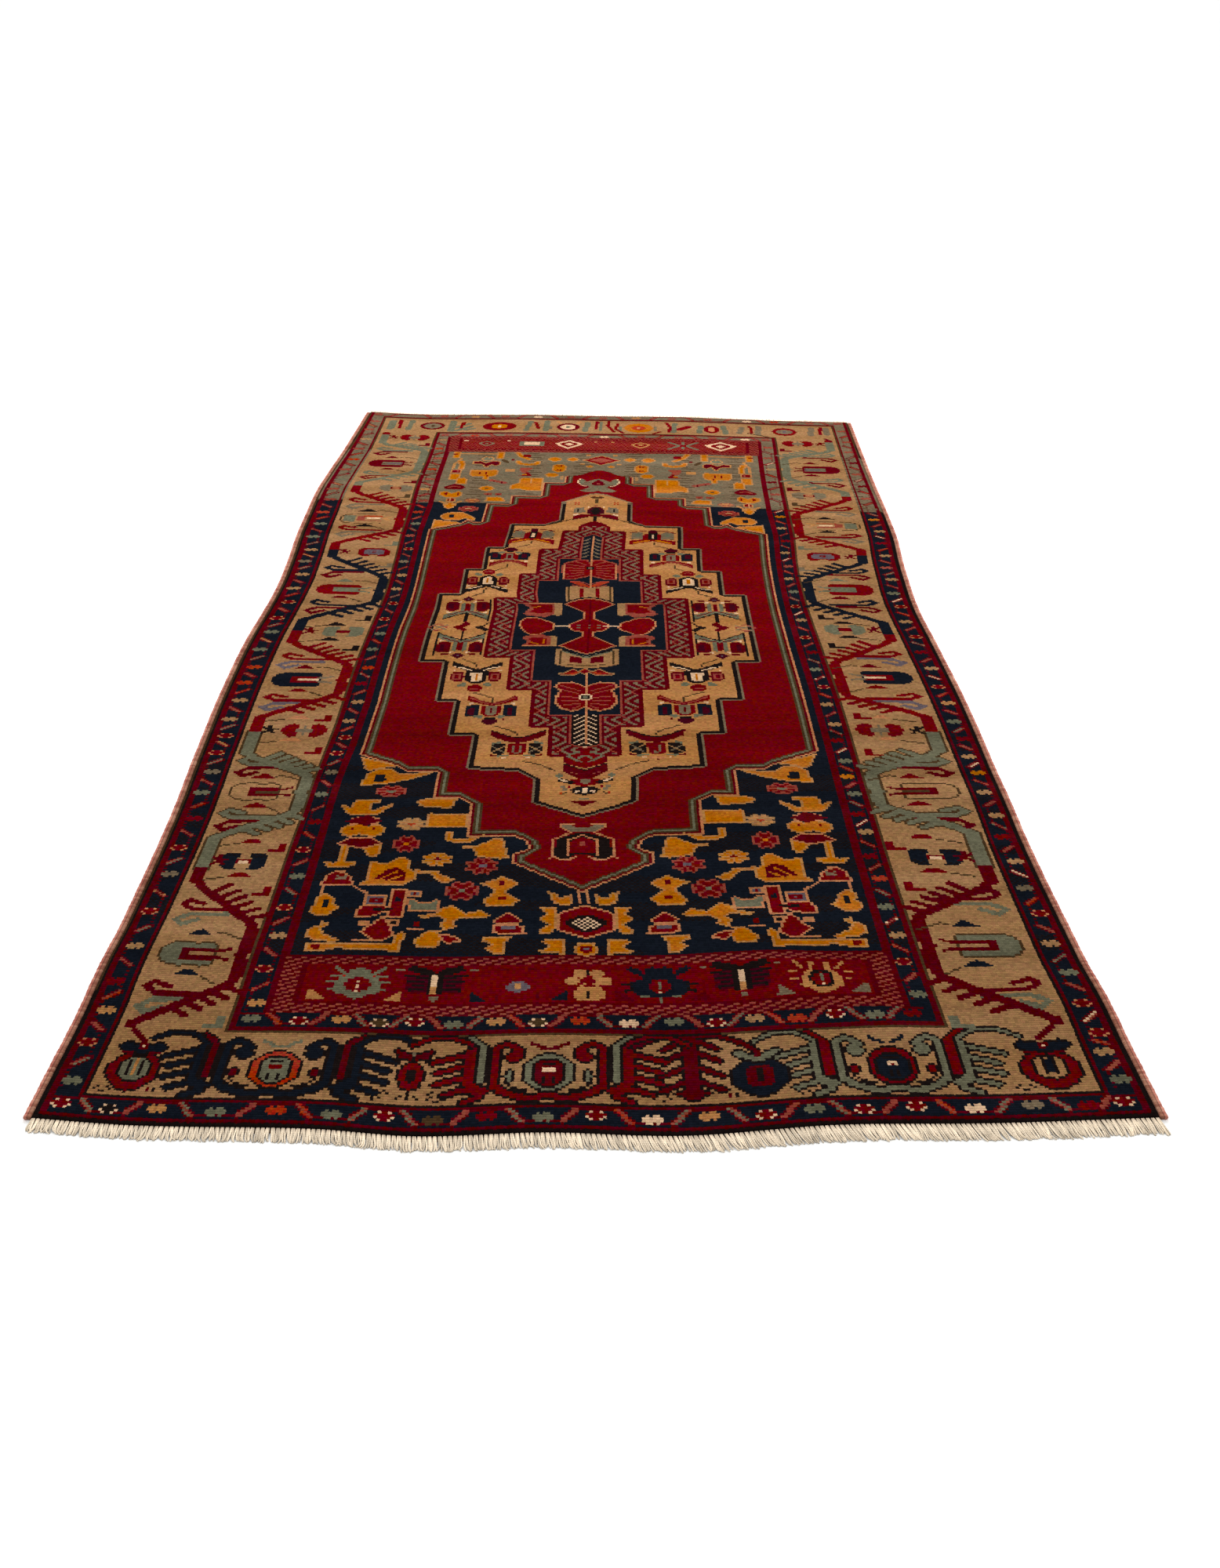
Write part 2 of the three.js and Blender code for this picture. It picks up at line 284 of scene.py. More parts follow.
# %% The ribbon and its flowers
def ribbon_path(entries, middle, aside, crossing, turned, first_aside):
    """Two corners beside each flower: the ribbon runs straight past it, then crosses over.

    It passes flowers on one side and the other in turn. Where two flowers are far apart, the run past
    each gets longer, so that a crossing always takes the same length.
    """
    beside = 3.4
    path = []
    for k, (place_along, _) in enumerate(entries):
        out = aside if (k + first_aside) % 2 else -2
        path += [(float(place_along) - beside, out), (float(place_along) + beside, out)]
    path = np.array(path)
    for k in range(1, len(path) - 1, 2):
        slack = max((path[k + 1, 0] - path[k, 0] - crossing) / 2, 0)
        path[k:k + 2, 0] += (slack, -slack)
    return path[:, ::-1] + (middle, 0) if turned else path + (0, middle)


def lay_guard(middle, flowers, ribbons, turned=False, first_aside=0):
    """One side of a guard: the ribbon first, then a flower of six by four knots on each place.

    A crossing is mottled, with every second knot rose. A guard that is turned runs up a side of the
    rug. There the ribbon is mottled too, and light flowers are beige.
    """
    entries = [entry.split() for entry in flowers.split(",")]
    inside = np.abs((across if turned else along) - middle) < 3.5
    aside, crossing, core = (2, 3.6, 1.3) if turned else (3, 4, 1.6)
    mottle = (across + along) % 2 < 1
    path = ribbon_path(entries, middle, aside, crossing, turned, first_aside)
    chart[stroke_mask(path, 1.1) & inside & (mottle | (not turned))] = wool("wine")
    for k in range(len(entries) - 1):
        leg = path[2 * k + 1:2 * k + 3]
        chart[stroke_mask(leg, core + 1.2) & inside] = wool("wine")
        chart[stroke_mask(leg, core) & inside & mottle] = wool("rose")
        chart[stroke_mask(leg, core) & inside & ~mottle] = wool(ribbons[k % len(ribbons)])
    for k, (place_along, name) in enumerate(entries):
        beside = -0.5 if k % 2 else 0.5
        at = (middle + beside, float(place_along)) if turned else (float(place_along), middle + beside)
        marks = np.array([list(line) for line in (DOTTED if name.endswith("*") else FLOWER)])
        first_row, first_column = int(round(at[1] - 2)), int(round(at[0] - 3))
        patch = chart[first_row:first_row + 4, first_column:first_column + 6]
        patch[marks == "#"] = wool("beige" if turned and name == "cream" else name.strip("*"))
        patch[marks == "o"] = wool("peach" if turned else "cream")


lay_guard(6.5, OUTER_LEFT, ["sage", "rose", "coral", "rose", "sage", "tan"], turned=True)
lay_guard(313.5, OUTER_RIGHT, ["rose", "coral", "cream", "rose", "sage"], turned=True)
lay_guard(5.5, OUTER_FRONT, ["sage", "rose", "sage", "rose", "coral", "sage"], first_aside=1)
lay_guard(697.5, OUTER_FAR, ["rose"])
lay_guard(55.5, INNER_LEFT, ["coral", "rose", "rose", "sage", "rose"], turned=True)
lay_guard(264.5, INNER_RIGHT, ["rose", "coral", "cream", "sage"], turned=True)
lay_guard(47.5, INNER_FRONT, ["coral", "rose", "sage", "sage", "rose", "sage"], first_aside=1)
lay_guard(656.5, INNER_FAR, ["rose"])
print("navy knots left in the guards:", knots_of("navy"))

# %% [markdown]
# A panel of small motifs closes the field at each end, inside a frame like a twisted rope. The rope
# is a formula: stripes that slant over the rows. Worn spots on the far panel are a formula too.

# %% Rope and ground of the panels
def rope(front, back, left, right):
    """Barber-pole stripes: the wool changes with the column less twice the row."""
    window = np.s_[front:back, left:right]
    wave = (across[window] - 2 * along[window]) % 5
    chart[window] = np.where(wave < 2, wool("rose"), wool("wine"))


def lay_panel(front, back):
    """A rope round the panel, five rows and six columns wide, then a wine edge and a red ground."""
    rope(front, back, 61, 259)
    band("wine", 67, front + 5, 253, back - 5)
    band("red", 69, front + 6, 251, back - 5)


lay_panel(51, 82)
lay_panel(622, 654)
far_panel = np.s_[624:652, 64:256]
spots = (across[far_panel] * 3 + along[far_panel] * 5 + 2 * np.sin(across[far_panel] / 3)) % 7 < 2
chart[far_panel][spots & (chart[far_panel] == wool("red"))] = wool("rose")
print("red knots in the two panels:", knots_of("red"))

# %% [markdown]
# The seven motifs of the front panel are charted one by one, since neighbours differ. The far panel
# is soft and faded, so a few diamonds and bars stand for its motifs.

# %% Motifs of the panels
SUNBURST = """
-sage 0,58 2.4,59.4 3.4,60.6 7,61.6 7.4,66 6.6,70.6 3.8,72.4 3.6,75.4 2.6,73.4 1.4,75.4 0,75.4
-sage ~1.3 4.6,71.8 7.6,75
-sage ~1.1 6,70 9.4,71
-sage ~1.1 6.6,67.6 10,67.6
-sage ~1.1 6.6,64 9.4,63.4
-coral ~1 5,70.6
-red 0,61.8 3,63 4.3,66 3.4,69 0,70
-cream ~1.4 0,67.4
-cream ~1.4 0,65
-cream ~1.4 0,62.4
"""
SPREAD = """
-plum 2,62.6 9,63.6 9,71.8 2,71.8
-black 0,61.6 2.6,62 2.6,72.4 5,72.2 9.6,74.4 8.4,77 4,76 1,74.4 0,73
-black ~1.1 3,70.6 9.6,71.4
-black ~1.1 4,68.6 8.6,68.6
-wine ~ 4,66.4 9.6,66
-black ~1.1 3.6,64.4 8,64
-black ~ 4,66.4 6.6,66.4
-wine ~ 5,62.4 8,62
-grey ~1.2 11.4,74.8 12.6,74.6
-cream 0,66.4 1.1,66.4 1.1,72 0,72
-tan 0,62 1.1,62 1.1,65.6 0,65.6
-grey 0,58.4 1.2,59 1.2,61.2 0,61.2
"""
LITTLE = """
-lilac 0,62 2.4,63 4.4,65 2.4,67.4 0,68.6
-tan 0,64 1,64 1,67 0,67
-wine ~ 6.4,58 6.4,62
-wine ~ 8,68 8,76
-wine ~ 3,74 6,75
"""
CREAM_FLOWER = """
-tan ~4.8 2.7,72
-tan ~4.4 5.2,68
-tan 6,66 8,68 6,70
-tan ~5 2.8,61
-tan 0,58 3,57.6 4.6,60 4,64 3,66 3,70 0,70
-black ~ 0,71 0,74
-red ~5.4 0,67.4
-tan ~1 0,69
-tan ~1 1.4,66.8
-black ~ 0,59 0,62.6
"""
NAVY_FLOWER = """
-navy 0,60.4 4,60.4 8.4,61.8 9.6,64.6 9,68 6,69.4 4.4,71.6 4.2,75 2,75.8 0,75
-navy ~2.6 6.6,73 8.8,74.4
-navy ~1.2 5,71 6.4,72.4
-black ~1.1 9,66.6 12,66.8
-black ~1.1 9,64 11,63
-red 0,61.6 2.6,63 3.4,65.6 2.4,68.4 0,69
-sage ~1.1 0,64.4 0,67
-cream ~1.1 0,62.4
-sage ~ 5.6,60.4 3,60
-sage ~ 0,57.4 0,59.4
"""
FORKED = """
-tan 0,58 2.4,58.6 5.4,61 7,62 6.6,66 5,69 3.6,70.6 3.4,74.6 1.8,75 2,70 4,66 3,62.6 0,61
-tan ~1.2 5.6,71.4 8,75.4
-tan ~1 8,69.4 10,69.8
-tan ~1 8,65.8 10,66
-black 0,61 2.6,61.6 4,64 4,67 2.6,69.4 0,70
-red 0,61.8 2.2,62.6 3.2,65 2.2,68 0,68.8
-sage ~1.1 0,64.4 0,67
-cream ~1.1 0,62.6
"""
CORNER_LEAF = """
-leaf 0,0 6.4,-0.4 0.6,5
"""
CORNER_LEAVES = [
    (71, 1, "tan"), (101.4, -1, "tan"), (122.6, 1, "navy"), (154.4, -1, "navy"), (169, 1, "wine"),
    (198.8, -1, "wine"), (220.4, 1, "grey"), (250, -1, "grey"),
]
DIAMOND = """
-light 0,-9 7,-2 9,2 0,9
-red 0,-6 5,-1 6,2 0,6
-light 0,-3 2.6,0.6 0,3
"""
FAR_SPOTS = """
-cream ~3 71.6,645
-cream ~3 99,645
-tan ~3 155,645
-tan ~3 166,645
"""
FAR_FORK = """
-sage ~2.4 0,633 0,646
-sage ~2.4 3,640 9,646
-sage ~2.4 3,638 9,632
-red ~4 0,639
"""
for text, column in ((SUNBURST, 86.5), (SPREAD, 111.4), (LITTLE, 138), (CREAM_FLOWER, 160.8),
                     (NAVY_FLOWER, 183.5), (SPREAD, 210), (FORKED, 235.4)):
    motif(text, (column, 0))
for column, way, name in CORNER_LEAVES:
    motif(CORNER_LEAF, (column, 58.4), (way, 1), twin=False, swap={"leaf": name})
for column, size, name in ((85, 0.6, "grey"), (138, 1, "cream"), (184, 0.7, "tan"), (235, 1.1, "cream")):
    motif(DIAMOND, (column, 639), (size, size), swap={"light": name})
band("sage", 106, 635, 122, 644)
band("cream", 109, 637, 119, 643)
motif(FAR_SPOTS, (0, 0), twin=False)
motif(FAR_FORK, (211, 0))
print("red knots left round the motifs:", knots_of("red"))

# %% [markdown]
# The front border holds three branched stands, with an insect and small trees between them and a
# round flower in each corner. The stands are one drawing in three sets of wools, which is how a
# weaver varies a figure known by heart.

# %% Motifs of the front border
CANDELABRA = """
navy ~2.3 16.2,18.8 13.6,15.8 9,13.6 4,13 0,14.6
& 14.8,36 17.4,35 17.4,17 15,17
& ~2 16,35.4 13.6,37 10.8,36 9,33.6
& ~4.6 10.6,31.4
& 22.6,35.6 25.2,34.6 25.2,19 24,16.2 20,14.8 17,16.6 20.6,18.6 22.6,20.6
& ~1.7 25,32.6 35.6,29.2
& ~1.7 25,27.8 33.6,24.6
& ~1.7 24.6,22.8 33.6,19.8
& ~1.7 22,18.4 31,15.2
& ~1.9 20,14.2 25,11.8
& ~1.3 23,35.6 26,38.6 30,40.6 35,40.8 38,39.6 42,37
wine 18.9,19.6 18.9,35.6 20.6,38 24,40.6 25.4,40.6 21.4,36 21.4,19.6
wine 12,25.4 13,22.4 12,19.4 11,22.4
-black ~0.8 13.4,20 11,18 7.6,16.4 5,16
-black ~0.8 10.4,17 7,15.4
coral 0,32.4 3.8,31 7.2,27.6 7.2,20.4 3.8,17 0,15.6
sage 0,29.4 2.8,28.8 4.3,27.2 4.3,20.6 2.8,18.6 0,18
-black ~0.8 0,27.8 2,27.8
-red 0,25.6 2,25.6 2,23.6 0,23.6
-cream ~1 0,24.6
-black ~0.8 1.4,21.6 1.4,19.6
-sage ~1.4 1,34.4 5.6,37
"""
RED_CANDELABRA = dict(navy="red", wine="sage", coral="sage", sage="wine", red="cream")
GREY_CANDELABRA = dict(navy="sage", wine="red", coral="red", sage="navy", red="cream", cream="red")
CORNER_FLOWER = """
red 0,13.4 3,14 6,16.6 8,20 8,24.6 6,28 3.4,29.6 0,29
sage 0,18 2.6,18.6 4.2,20.6 4.2,25.6 2.6,28 0,28
-black ~0.8 1.6,20 1.6,27
-tan ~1.4 0,21 0,27
navy 0,30.4 3,30.6 7,31.6 7.6,34 5.6,35.4 3,34.4 0,34
-wine ~3.4 0,33.4
-cream ~1 0,33.4
-wine ~1.4 3,29.8 5.4,30.4
"""
INSECT = """
-black ~0.8 7.4,17 7.4,27.6
-black ~0.8 5.4,15.4 7.4,17
-black ~0.8 5.4,29 3,31
red 0,16.8 2.4,18.6 3.4,22 3,26 1.6,28.6 0,28.6
-black 0,20.4 1.2,21 1.2,25.4 0,26.4
wine 0.6,30 4,31.4 5.6,34.6 3,34.2 0.6,32.4 0,31
-grey ~1.2 0,33
-black ~1 0,13.6 0,16.4
-black ~0.8 2,14.6 3,13.6
"""
COMB_TREE = """
wine 0,40 2,40 2,17.4 4.8,15.6 0,12.4
& ~1.6 1.5,39 8,34.8
& ~1.6 1.5,33.6 8.4,29
& ~1.6 1.5,27 8.8,22.8
& ~1.6 1.5,20.8 8.8,16.6
& ~1.5 0,40.4 9,40.4 15,37 19,33.4
"""
NAVY_ROUND = """
navy 0,29 5,28 8,24.6 8,19 5,15 1,13.2 0,13
-wine 0,26.4 3,26 4,24 4,19 3,17.4 0,17
-black 0,25 1,25 1,18.6 0,18.6
-cream ~ 0,24 0,19.4
sage 0,28 2,28.4 5,30 7.4,32.4 6,33.4 3,32 1.6,30.6 0,30
-wine ~3 0,31.8
-cream ~1 0,31.8
"""
SPECK = """
-black ~ 1.6,14.4 2.4,13.4
-black ~ 0.6,12.8
-wine ~1.2 0,14
"""
motif(COMB_TREE, (191, 0))
motif(CANDELABRA, (68, 0))
motif(CANDELABRA, (149, 0), (0.98, 1), swap=RED_CANDELABRA)
motif(CANDELABRA, (250.5, 0), (0.95, 1), swap=GREY_CANDELABRA)
motif(INSECT, (108.5, 0))
motif(NAVY_ROUND, (211, 0))
motif(CORNER_FLOWER, (24.5, 0))
motif(CORNER_FLOWER, (296.2, -0.6), swap={"sage": "beige", "tan": "navy"})
for column in (17, 31.5, 98, 117, 182, 201.5, 222, 287):
    motif(SPECK, (column, 0), twin=column % 2 == 1)
print("beige knots left by the front border:", knots_of("beige"))

# %% [markdown]
# Up each side grows an angular stem that swings between the border's two edges. A tulip with wings
# fills each bay, and a bow sits between two bays. The same drawings serve both sides: columns count
# from the nearer side of the rug, and rows from the flower's own middle.

# %% Motifs of the side borders
TULIP = """
outer 36,5.4 33,6.4 29,5.6 25,6.4 20.4,5.8 17.8,4.2 17,1.5 17,-1.5 17.8,-4.2 20.4,-5.8 25,-6.4
+29,-5.6 33,-6.4 36,-5.4
-inner 36,3.4 23.6,3.4 23.6,-3.4 36,-3.4
-slot 36,1 27,1 27,-1 36,-1
-arm ~1.6 36,1.8 38.6,2 41.4,3.4
-arm ~1.6 36,-1.8 38.6,-2 41.4,-2.8
"""
PALE_TULIP = """
-sage 17.4,-4.6 22.6,-5.4 22.6,5 17.4,4.4
-rose 24,-3.4 28,-3.4 28,3.4 24,3.4
-coral ~1.6 28,3.4 36,3.4
-rose ~1.6 28,-3 36,-3
-cream ~2 29.6,0.4 35.4,0.4
-olive ~0.8 36.5,6.4 26,7 18,6 15.6,2 15.6,-3 18,-7 26,-8 36.5,-7.4
-tan ~1.8 40.6,-2 37.6,1 41,3
"""
WING_PAIR = """
-wing 23,10.8 33,10.8 30,14 28,15 26,13.4
-under 24,-12 34,-12 31,-9.4 29,-8.4 27,-9.4
-olive ~ 33,12 36,13.2 44,9.4
-olive ~ 34,-12 40,-16
"""
BOW = """
-lobe 2,4.8 5,6.2 8.4,4.6 9.4,1 8.6,-3.4 5,-6.2 2.4,-5 3.2,0
-heart 0,1.8 3.2,1.8 3.2,-1.8 0,-1.8
-eye 0,1 1.8,1 1.8,-1 0,-1
-heart ~1 0,2 0,4.4
-heart ~1 0,-2 0,-4.4
"""
RING_BOW = """
-lobe 0,6.4 5,6 8,3 8,-3 6,-6 3,-6.4 1.6,-4.4 0,-4
-heart 0,4 4,4 5.4,1 5,-3 2.6,-3.6 0,-2.6
-eye ~3 0,0.6
-heart ~1.2 0,0.6
"""
BUD = """
-bud ~1.4 20.4,3 23,0 20.6,-2.6
-bud ~1.4 23,3.6 23.4,0 25,-2.4
-bud ~1.4 23,0 26,1
"""
FLAG = """
-flag 29,0 38,0 35.6,2.6 33,3.4 31,2.4
-olive ~ 20,-2.4 29,0
"""
HOOK = """
-hook 4,0 7,0 7,6 4,6
& 0,0 7,0 7,1.6 0,1.6
"""
print("corners of a tulip:", TULIP.count(","))

# %% [markdown]
# The two sides were woven apart, so their bays are a few knots off each other. A stem entry gives
# the rows of its tulip, outer turn, curl and inner turn, then those of the inner turn, curl and
# outer turn above. The stem changes its wool at some bows, where a new ball of yarn was begun.

# %% Places and wools of the side borders
STEM_WOOLS = [
    (0, "wine"), (135.5, "sage"), (241.5, "red"), (344, "navy"), (450, "red"), (549, "sage"),
    (655, "red"),
]
CURL_WOOLS = ["sage", "wine", "lilac", "wine", "grey", "wine"]
LEFT_STEM = [
    (80.8, 45, 58.5, 65, 99, 107, 126), (190.5, 155, 169.5, 174, 204, 211.5, 222),
    (291, 254, 269.5, 276, 307, 311, 331), (394, 356, 372, 377, 412, 419.5, 440),
    (496.5, 459, 478, 479, 514, 520, 538), (596, 556, 573, 580, 623, 621.5, 638),
]
RIGHT_STEM = [
    (85, 43, 59, 68, 102, 112, 124), (189, 157, 168.5, 176, 204, 210.5, 224),
    (295, 255, 271.5, 274, 311, 317.6, 337), (399, 358, 379.2, 381, 412, 421, 438),
    (498, 458, 477.7, 479, 517, 524, 543), (597, 556, 574, 578, 618, 622, 637),
]
TULIPS = [
    dict(outer="sage", inner="wine", slot="beige", arm="wine", wing="navy", under="navy"),
    dict(outer="beige", inner="wine", slot="olive", arm="wine", wing="red", under="red"),
    dict(outer="navy", inner="red", slot="cream", arm="grey", wing="wine", under="red"),
    dict(outer="red", inner="sage", slot="sage", arm="sage", wing="sage", under="wine"),
    dict(wing="black", under="black"),
    dict(outer="wine", inner="grey", slot="lilac", arm="wine", wing="wine", under="wine"),
]
LEFT_BOWS = [(139.5, 33), (242.5, 37.5), (343.5, 38), (447, 38), (546, 39), (650, 36.6)]
RIGHT_BOWS = [(140.5, 33), (242, 37.5), (349, 36), (447, 36.4), (549, 37), (650, 36.6)]
BOWS = [
    (dict(lobe="navy", heart="red", eye="cream"), "wine", ("red", -10.4), ("red", 12.4)),
    (dict(lobe="red", heart="grey", eye="grey"), "black", ("peach", -9.4), ("peach", 10.6)),
    (dict(lobe="sage", heart="wine", eye="red"), "wine", ("black", -10), ("black", 7)),
    (dict(lobe="red", heart="lilac", eye="red"), "wine", None, None),
    (dict(lobe="grey", heart="wine", eye="peach"), None, None, None),
    (dict(lobe="red", heart="grey", eye="grey"), "wine", None, None),
]
LEFT_HOOKS = """41 43 sage, 40.6 117.4 red, 41 146.4 red, 41.4 222 red, 39.6 251.4 red,
41 322 black, 40.6 355.6 black, 42 425 grey, 42 456.6 sage, 41 529.6 olive, 42 556 wine,
41 633.4 wine"""
RIGHT_HOOKS = """41 41.4 sage, 40 118 red, 42 145.4 red, 39.4 218.6 red, 39 252 red, 39 327 black,
39 361 black, 42 425 grey, 41 457 sage, 39.6 531 olive, 40.6 557 wine, 41 633.4 wine"""
print("bays on each side:", len(LEFT_STEM), "and", len(RIGHT_STEM))


# %% The stem of a side border
def counted_from(left_side):
    """Where the columns of a side border start, and which way they run."""
    return (0, 1) if left_side else (COLUMNS, -1)


def lay_stem(left_side, stem):
    """One stem: lines about four knots wide along both edges of the border and aslant between them.

    Teeth stand on each slant. A tooth's foot is a share t of the way along the slant, and it leans
    towards the field. The curls are hooked lines at the outer turns.
    """
    start, way = counted_from(left_side)

    def stroke(path, width):
        """A line of this side, as a mask."""
        return stroke_mask(np.array(path) * (way, 1) + (start, 0), width)

    main = np.zeros(chart.shape, bool)
    for k, (tulip, outer_low, curl_low, inner_low, inner_high, curl_high, outer_high) in enumerate(stem):
        after = stem[k + 1][1] if k < 5 else 658
        main |= stroke([(45, inner_low), (46.4, inner_low + 4), (46.4, tulip - 2), (45.4, tulip),
                        (46.4, tulip + 2), (46.4, inner_high - 2), (44.6, inner_high + 1.4)], 4.3)
        if k:
            main |= stroke([(17.4, outer_low), (22, outer_low + 4), (45, inner_low)], 3.8)
        else:
            main |= stroke([(24, 36), (16.6, 44)], 2) | stroke([(16.6, 44), (24, 50), (45, inner_low)], 3.8)
        main |= stroke([(44.6, inner_high + 1.4), (21, outer_high - 4), (17.4, outer_high + 1)], 3.8)
        main |= stroke([(17.4, outer_high), (17.4, after)], 4.4)
        for t in (0.34, 0.5, 0.64, 0.78, 0.94):
            foot = np.array([18 + 27 * t, outer_low + 1 + (inner_low - outer_low) * t])
            main |= stroke([foot, foot + (6.6, -3.6)], 2.6)
        for t in (0.06, 0.2, 0.34, 0.47, 0.6, 0.74):
            foot = np.array([44 - 24 * t, inner_high + 2 + (outer_high - inner_high - 3) * t])
            main |= stroke([foot, foot + (7 - 2 * t, 2.6 + 3.6 * t)], 2.6)
        for curl in (curl_low, curl_high):
            other = stroke([(35, curl - 1.6), (21, curl - 2), (16.4, curl - 5.6), (19.4, curl - 8.4),
                            (24.5, curl - 5.6)], 2.3)
            chart[other] = wool(CURL_WOOLS[k])
            main |= stroke([(38, curl + 1), (21, curl + 1), (16.6, curl + 4), (19, curl + 6.6),
                            (24.5, curl + 4.4)], 2.4)
    rim = grown(main) & ~main & (chart == wool("beige")) & (along > 133) & (along < 242)
    chart[rim] = wool("olive")
    lasts = [first for first, _ in STEM_WOOLS[1:]] + [ROWS]
    for (first, name), last in zip(STEM_WOOLS, lasts):
        chart[main & (along >= first) & (along < last)] = wool(name)


lay_stem(True, LEFT_STEM)
print("knots taken by the left stem:", int((chart[:, 13:49] != wool("beige")).sum()))


# %% Tulips, bows and hooked leaves
def lay_side_flowers(left_side, stem, bows, hooks):
    """A tulip and its wings in each bay, then the bows, their buds and flags, then the hooks."""
    start, way = counted_from(left_side)

    def drawn(text, row, swap, aside=0, edge="black"):
        """A motif of this side at a row, moved inwards by a few knots."""
        motif(text, (start + way * aside, row), (way, 1), edge=edge, twin=False, swap=swap)

    for k, (row, *_) in enumerate(stem):
        drawn(WING_PAIR, row, TULIPS[k], aside=0 if left_side else 3.6)
        edge = "olive" if k < 2 else TULIPS[k].get("outer", "black")
        drawn(PALE_TULIP if k == 4 else TULIP, row, TULIPS[k], edge=edge)
    for (row, column), (hues, bud, low, high) in zip(bows, BOWS):
        motif(RING_BOW if hues["heart"] == "lilac" else BOW, (start + way * column, row), swap=hues)
        if bud:
            drawn(BUD, row, {"bud": bud})
        for flag in (low, high):
            if flag:
                drawn(FLAG, row + flag[1], {"flag": flag[0]}, aside=0 if left_side else 2)
    for entry in hooks.split(","):
        column, row, name = entry.split()
        motif(HOOK, (start + way * float(column), float(row)), (way, 1), twin=False, swap={"hook": name})


lay_side_flowers(True, LEFT_STEM, LEFT_BOWS, LEFT_HOOKS)
lay_stem(False, RIGHT_STEM)
lay_side_flowers(False, RIGHT_STEM, RIGHT_BOWS, RIGHT_HOOKS)
print("beige knots left by the side borders:", knots_of("beige"))

# %% [markdown]
# At the far end the border's wools have faded into each other, and its upright leaves and ring
# flowers are soft. Short lines do for the leaves. A ring flower is an oval inside an oval.

# %% Motifs of the far border
FAR_LEAVES = """
-sage ~5 18,668 18.6,684
-sage ~3.6 30,668 31,686
-sage ~5 58.6,666 58,686
-sage ~3 62,666 72,676
-sage ~3 62,673 70,682
-sage ~3 68,668 74,671
-sage ~3.4 108,668 110,686
-sage ~3.4 121,668 121,688
-grey ~3 124,672 124,676
-sage ~4 147,668 148,686
-sage ~3 157,670 157,688
-sage ~3 170,670 170,678
-grey ~3 193,671 193,679
-sage ~3.4 205,668 206,686
-sage ~4 222,668 223,682
-sage ~4 239,668 238,684
-grey ~4 248,670 250,682
-grey ~4 260,668 261,686
-olive ~1.4 253,670 262,666 268,662
-grey ~4 293,670 294,686
-grey ~4 303,672 303,686
-red ~2.4 24,670 23.4,687
-red ~2.4 65,672 65.6,684
-red ~2.4 116,672 113.4,685
-red ~2.4 154,673 154.4,689
-red ~2.4 162,690 161.6,680 166,667
-red ~2.2 168,685 167,673 172,665
-red ~2.4 200.4,688 203,678 202,668
-red ~2.2 196,668 192,664
-red ~5 209,674 215,680
-red ~2.4 254.6,686 256.4,681 255.6,671
-red ~2.4 300,688 298.6,672
-wine ~2.4 301,662 304,657
-tan ~3 130,684 128,688
-tan ~3 141,684 143,688
"""
RINGS = [
    (45, (8, 8), "wine", (5.6, 5.6), "grey", "olive"),
    (90, (11, 9), "red", (5.4, 4.6), "orange", "cream"),
    (135.4, (7.6, 8), "wine", (5, 5.4), "cream", "sage"),
    (182, (9.6, 9.6), "orange", (4.6, 4.6), "coral", "peach"),
    (230, (5.4, 8), "red", (2.4, 5), "peach", "peach"),
    (277, (7.6, 8.6), "red", (5, 5), "grey", "lilac"),
]
RING_ROW = 676


def oval(at, reach, name):
    """Knots whose distance from the middle, in shares of the reach across and along, is below 1."""
    chart[np.hypot((across - at[0]) / reach[0], (along - at[1]) / reach[1]) < 1] = wool(name)


motif(FAR_LEAVES, (0, 0), twin=False)
for column, reach, outer, inner_reach, inner, dot in RINGS:
    oval((column, RING_ROW), reach, outer)
    oval((column, RING_ROW), inner_reach, inner)
    oval((column, RING_ROW), (1.5, 2.2), dot)
print("beige knots left in all borders:", knots_of("beige"))

# %% [markdown]
# The red field lies on navy and meets it in steps. Such an outline is charted as one half and
# mirrored, because a weaver counts both halves alike. The thin lines that follow it aren't drawn:
# each is the field with its outermost knots taken off once more.

# %% Ground of the field
def mirror_outline(half):
    """Closes a half outline, given from the middle line outwards, with its mirror image."""
    right = read_pairs(half)
    left = right[::-1] * (-1, 1)
    return polygon_mask(np.vstack([right, left]) + (MIDDLE, 0))


def layers(mask, names):
    """Each wool in turn is laid on the mask, which loses the knots at its rim every time."""
    for name in names:
        chart[mask] = wool(name)
        mask = shrunk(mask)


RED_FIELD = """0,119 26.5,138.5 26.5,145 21,148 22,154 27,157 45.4,157 45.4,182 50,186 60,186
60,207 72,207
76,211 95,222 95,482 78,491.6 74.6,497.6 70,493.6 66,493.6 66,524 52,524 52,538.6 33.6,538.6 33.6,563.6
21,563.6 21,576 0,592"""
band("wine", 61, 81, 259, 622)
band("navy", 62, 82, 258, 622)
layers(mirror_outline(RED_FIELD), ["peach", "wine", "olive", "sage", "olive", "red"])
print("red knots in field and panels:", knots_of("red"))

# %% [markdown]
# The stepped medallion stands in the middle of the field. A flower head like a beetle sits on each
# of its steps, joined to the next by a thin stem, and the upper ones hang upside down. Five
# drawings serve sixteen heads. Each faces up and counts from its own middle.

